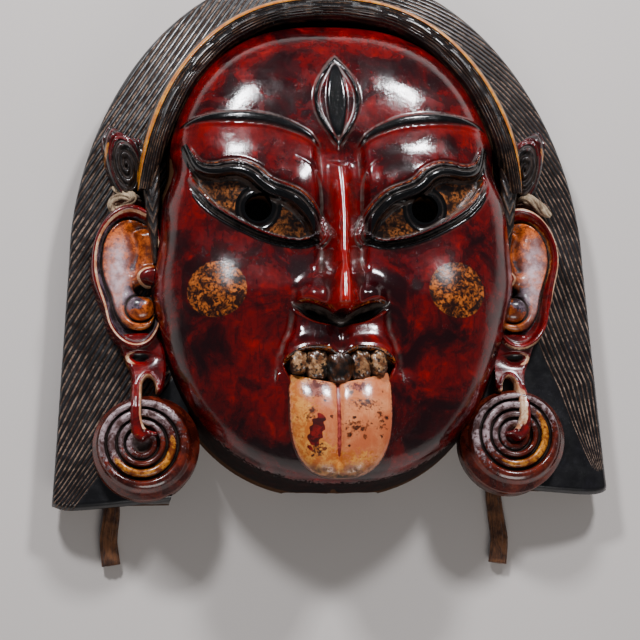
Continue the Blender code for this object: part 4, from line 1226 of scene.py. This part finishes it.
def straight_cuts(x, y):
    """Counts slanting lines: the distance across them over a pitch that shrinks at the corner."""
    pitch = 4.1 * (0.50 + 0.50 * step(y + 165, 90))
    count = ((x - 199) * 0.839 + (y + 203) * 0.545) / pitch
    return count, pitch, step(count + 5.2, 0.4)


def curved_cuts(y, from_edge):
    """Counts lines that fan out from the outer corner. From 90 mm above it they stay the same
    distance apart and run slantwise out over the edge."""
    above = np.clip(y + 204, 1, None)
    pitch = 3.9 * np.minimum(above / 90, 1) ** 0.80
    count = from_edge / pitch - 0.08 * np.clip(above - 90, 0, None)
    return count, pitch, step(8.2 - count, 0.4) * step(pitch - 1.1, 0.5)


# %% Hair boards
hair_lacquer = painted_wood(
    "hair_lacquer", ((9, 8, 10), (20, 18, 22), (40, 40, 48)),
    [("line", (66, 50, 42), (146, 122, 106), 0.75, 0.6)],
    blotch=0.022, dusty=0.5, gloss=(0.28, 0.44), bare=True,
)
WALL_LEVELS, INSIDE_LEVELS = (21.0, 16.0, 12.0), (12.0, 26.0)
along = np.linspace(0, 1, 484)
across = np.linspace(0, 1, 138)[None, :]
outer = board_edge(along, 200.0, (189.0, -20.0), 225, 0.58, (0.92, 1.12))[:, None]
inner = board_edge(along, 117.0, (104.0, -146.0), 274, 0.30, (0.7, 1.0))[:, None]
drawn = inner + (outer - inner) * across[..., None]
from_edge = (1 - across) * np.linalg.norm(outer - inner, axis=-1)
x, drawn_y = drawn[..., 0], drawn[..., 1]
from_foot = drawn_y - HAIR_FOOT
near_foot = clamp(1 - from_foot / 24)
for side, name, (count, pitch, carved) in (
    (-1, "hair_left", straight_cuts(x, drawn_y)),
    (1, "hair_right", curved_cuts(drawn_y, from_edge)),
):
    carved = carved * step(from_edge - 1.0, 1.0)
    from_cut = np.abs(count - np.round(count))
    z = HAIR_INNER + (HAIR_EDGE - HAIR_INNER) * across**1.5
    z = z - pitch * carved * (0.26 * ridge(from_cut, 0.17) + 0.07 * (count - np.floor(count)))
    z = z - 2.4 * clamp(1 - from_edge / 3.0) ** 2 - 4.5 * clamp(1 - from_foot / 5.0) ** 2
    y = drawn_y + near_foot * (6.0 * (1 - across) ** 1.5 + 5.0 * across**14)
    y = y + (10 * clamp(2 * y / HAIR_FOOT - 1) if side > 0 else 0)
    top = np.stack([side * x, y, z], -1)
    walls = [top[:, [-1]] * [1, 1, 0] + [0, 0, level] for level in WALL_LEVELS]
    inside = [top[:, [0]] * [1, 1, 0] + [0, 0, level] for level in INSIDE_LEVELS]
    columns = len(walls) + len(inside)
    coats = {"count": count, "carved": carved, "bare": np.zeros(count.shape)}
    coats = {key: [np.pad(value, ((0, 0), (0, columns)))] for key, value in coats.items()}
    coats["bare"][0][:, -3:-1] = 1.0
    board = add_piece(name, [np.concatenate([top, *walls, *inside], axis=1)], coats, 50)
    dress(board, hair_lacquer)

# %% [markdown]
# ## Diadem and combed hair
#
# A rounded band arches over the forehead. Seen from outside to inside it is black, then a
# thin gold line, then finely combed strands that lead to the edge of the face. The loft carries
# a squared oval round the arch, and the angle round the oval says which strip a point is on.

# %% A band that follows a path
def swept(path, widths, heights, sides, power=0.7, lobes=0, twist=0.0, depth=0.0):
    """Loops round a path: widths lie across it, heights along +Z. Lobes cut strands into the
    loop, and the twist turns them along the path. It returns the points, and how far across and
    over the path they lie."""
    ahead = np.gradient(path, axis=0)
    ahead /= np.linalg.norm(ahead, axis=1, keepdims=True)
    across = np.cross(ahead, [0, 0, 1.0])
    across /= np.linalg.norm(across, axis=1, keepdims=True)
    over = np.cross(across, ahead)
    angle = circle(sides)[None, :]
    gone = length_along(path)[:, None]
    c, s = superellipse(angle + 0 * gone, power)
    groove = 1 - depth * np.abs(np.sin(lobes / 2 * (angle + twist * gone))) ** 6 if lobes else 1.0
    x = c * groove * np.array(widths)[:, None] / 2
    z = s * groove * np.array(heights)[:, None] / 2
    return path[:, None] + across[:, None] * x[..., None] + over[:, None] * z[..., None], x, z


# %% Diadem
count = 240
arch_turn = np.linspace(0.25, np.pi - 0.25, count)
x = 139 * np.sign(np.cos(arch_turn)) * np.abs(np.cos(arch_turn)) ** 0.85
y = FACE_MIDDLE + 192 * np.sin(arch_turn) ** 0.9
from_end = np.minimum(np.arange(count), np.arange(count)[::-1])
ends, drop = 0.30 + 0.70 * step(from_end - 7, 22), 1 - step(from_end - 6, 14)
path = np.stack([x, y, 42.0 - 5 * drop], 1)
band, outward, rise = swept(path, 20.5 * ends, 51.0 - 8 * drop, 144)
front = step(rise - 8, 6)
wave = 0.3 * np.sin(np.linspace(0, 60, count))[:, None]
strand = np.abs(np.sin(outward * 1.9 + wave)) ** 3
combed = front * step(3.0 - outward, 1.0)
grooves = 1.2 * ridge(outward - 3.3, 0.6) + 1.0 * ridge(outward - 7.4, 0.6)
band[..., 2] -= 0.9 * combed * (1 - strand) + front * grooves
diadem = add_piece("diadem", [band], {
    "gold": [0.95 * front * step(outward - 3.8, 0.6) * step(7.0 - outward, 0.6)],
    "strand": [combed * (0.25 + 0.75 * strand) * 0.8],
    "hollow": [combed * (1 - strand) * 0.15],
}, 50)
comb_lacquer = painted_wood(
    "comb_lacquer", ((12, 10, 11), (28, 22, 22), (60, 14, 12)),
    [
        ("strand", (34, 24, 20), (96, 70, 52), 0.7, 0.45),
        ("gold", (176, 96, 20), (220, 146, 40), 0.45, 0.3),
    ],
    blotch=0.014, dusty=0.6, gloss=(0.24, 0.4),
)
dress(diadem, comb_lacquer)

# %% Locks in front of the ears
LOCK = (
    (131, 66, 50), (132, 50, 50), (131, 34, 49.5), (130, 18, 49), (129.5, 2, 48), (128, -14, 47),
    (127.5, -30, 45.5),
)
bodies, strands = [], []
for side in (-1, 1):
    way = smooth_line([(side * x, y, z) for x, y, z in LOCK], 16)
    share = np.linspace(0, 1, len(way))
    width = 17 * (0.4 + 0.6 * step(share - 0.04, 0.12)) * (1 - 0.80 * share**1.2)
    lock, out, rise = swept(way, width, 14 + 0 * share, 72)
    slant = np.sin(np.abs(out) * 0.9 + share[:, None] * 34) ** 2
    front = step(rise - 1, 3)
    lock[..., 2] -= front * 1.1 * (1 - slant) * (1 - share[:, None])
    bodies.append(lock)
    strands.append(front * slant * 0.7)
hollows = [0.2 * (1 - strand) for strand in strands]
locks = add_piece("temple_locks", bodies, {"strand": strands, "hollow": hollows}, 60)
dress(locks, comb_lacquer)

# %% [markdown]
# ## Ties
#
# A soft tie passes through a hole above each ear. Behind the board it is a loose bundle of
# folded brown strips that runs down to below the hair. In front it ends in a knotted scrap of
# pale cloth. The bundle is a lobed oval carried along the tie's route, with a slow twist.

# %% Tie routes
TIE_LIE = 4.75
TIE_FOOT = {-1: 157.0, 1: 120.0}
HOLE_X, HOLE_Y, HOLE_POINT = 139.0, 19.0, 5


def tie_route(side):
    """The points of a tie, in millimetres, from its front end to its lower end. Number HOLE_POINT
    lies in the mouth of the hole, in front of the board."""
    x, y, lie, foot = side * HOLE_X, HOLE_Y, TIE_LIE, side * TIE_FOOT[side]
    return smooth_line((
        (x + side * 21.0, y - 2.5, 37.0), (x + side * 13.0, y - 0.5, 39.2), (x + side * 4.5, y, 41.5),
        (x - side * 0.5, y, 35.5), (x - side * 0.2, y, 24.0), (x, y, 15.5), (x, y - 2.5, lie + 4.0),
        (x + side * 0.2, y - 10.0, lie), (x, y - 40, lie), (x * 0.9 + foot * 0.1, y - 95, lie),
        (x * 0.35 + foot * 0.65, y - 150, lie), (foot, y - 195, lie), (foot + side * 1, -205, lie),
        (foot + side * 3, -223, lie), (foot + side * 1, -241, lie),
    ), 2)


# %% Cloth
def cloth(name, dark, light, thread):
    """Old cotton: fine threads that run one way, with stains."""
    material = bpy.data.materials.new(name)
    material.use_nodes = True
    tree = material.node_tree
    shader = tree.nodes["Principled BSDF"]
    place = add_node(tree, "ShaderNodeTexCoord").outputs["Object"]
    fibre = cloud(tree, stretched(tree, place, thread, thread * 0.12, thread), 1.0, 3.0, 0.6)
    stain = use(tree, mottle, place=place, size=0.012, low=0.35, high=0.65)
    share = sums(tree, "MULTIPLY_ADD", fibre, 0.7, sums(tree, "MULTIPLY", stain, 0.35))
    colour = blend(tree, between(tree, share, 0.25, 0.8), tone(*dark), tone(*light))
    tree.links.new(colour, shader.inputs["Base Color"])
    relief = add_node(tree, "ShaderNodeBump", {"Height": fibre, "Strength": 0.7, "Distance": 0.0008})
    tree.links.new(relief.outputs[0], shader.inputs["Normal"])
    shader.inputs["Roughness"].default_value = 0.85
    shader.inputs["Sheen Weight"].default_value = 0.2
    return material


brown_strips = cloth("brown_strips", (50, 24, 12), (132, 84, 50), 1400.0)
cream_cloth = cloth("cream_cloth", (112, 88, 64), (214, 188, 154), 1200.0)
KNOTS = {
    -1: (
        (-139.5, 19, 38), (-145, 20.5, 44), (-152, 21, 42), (-158, 17, 39.5), (-156.5, 12.5, 38),
        (-149, 14.5, 40.5), (-143.5, 19.5, 45), (-150, 24.5, 43), (-155, 26, 40), (-158, 29.5, 37.5),
    ),
    1: (
        (139.5, 19, 37), (143, 22, 43.5), (149, 20.5, 42.5), (155, 16.5, 40), (160, 13.5, 37.5),
        (164, 11.5, 35.5),
    ),
}
KNOT_WIDTHS = {-1: [6.5, 7.5, 6.5, 2.2], 1: [7.5, 9.0, 8.5, 4.0]}
STRIP_SHARES = (0, 0.1, 0.25, 0.75, 1)
STRIP_WIDTHS, STRIP_HEIGHTS = (7, 7.5, 8, 10.5, 13.5), (7, 7.5, 7.5, 7, 6.5)
for side, end in ((-1, "left"), (1, "right")):
    route = tie_route(side)
    fine = evenly(smooth_line(route, 6), 170)
    share = np.linspace(0, 1, len(fine))
    wide, high = (np.interp(share, STRIP_SHARES, sizes) for sizes in (STRIP_WIDTHS, STRIP_HEIGHTS))
    bundle, _, _ = swept(fine, wide, high, 60, 0.9, 9, 0.006, 0.22)
    tie = add_piece("tie_" + end + "_strips", [bundle])
    knot_line = evenly(smooth_line(KNOTS[side], 10), 150)
    wide = np.interp(np.linspace(0, 1, len(knot_line)), [0, 0.05, 0.8, 1], KNOT_WIDTHS[side])
    twisted, _, _ = swept(knot_line, wide, wide * 0.75, 48, 0.9, 5, 0.10, 0.30)
    knot = add_piece("tie_" + end + "_knot", [twisted])
    for piece, material in ((tie, brown_strips), (knot, cream_cloth)):
        dress(piece, material, "tie_" + end)
    way = [tuple(float(v) * MM for v in point) for point in route]
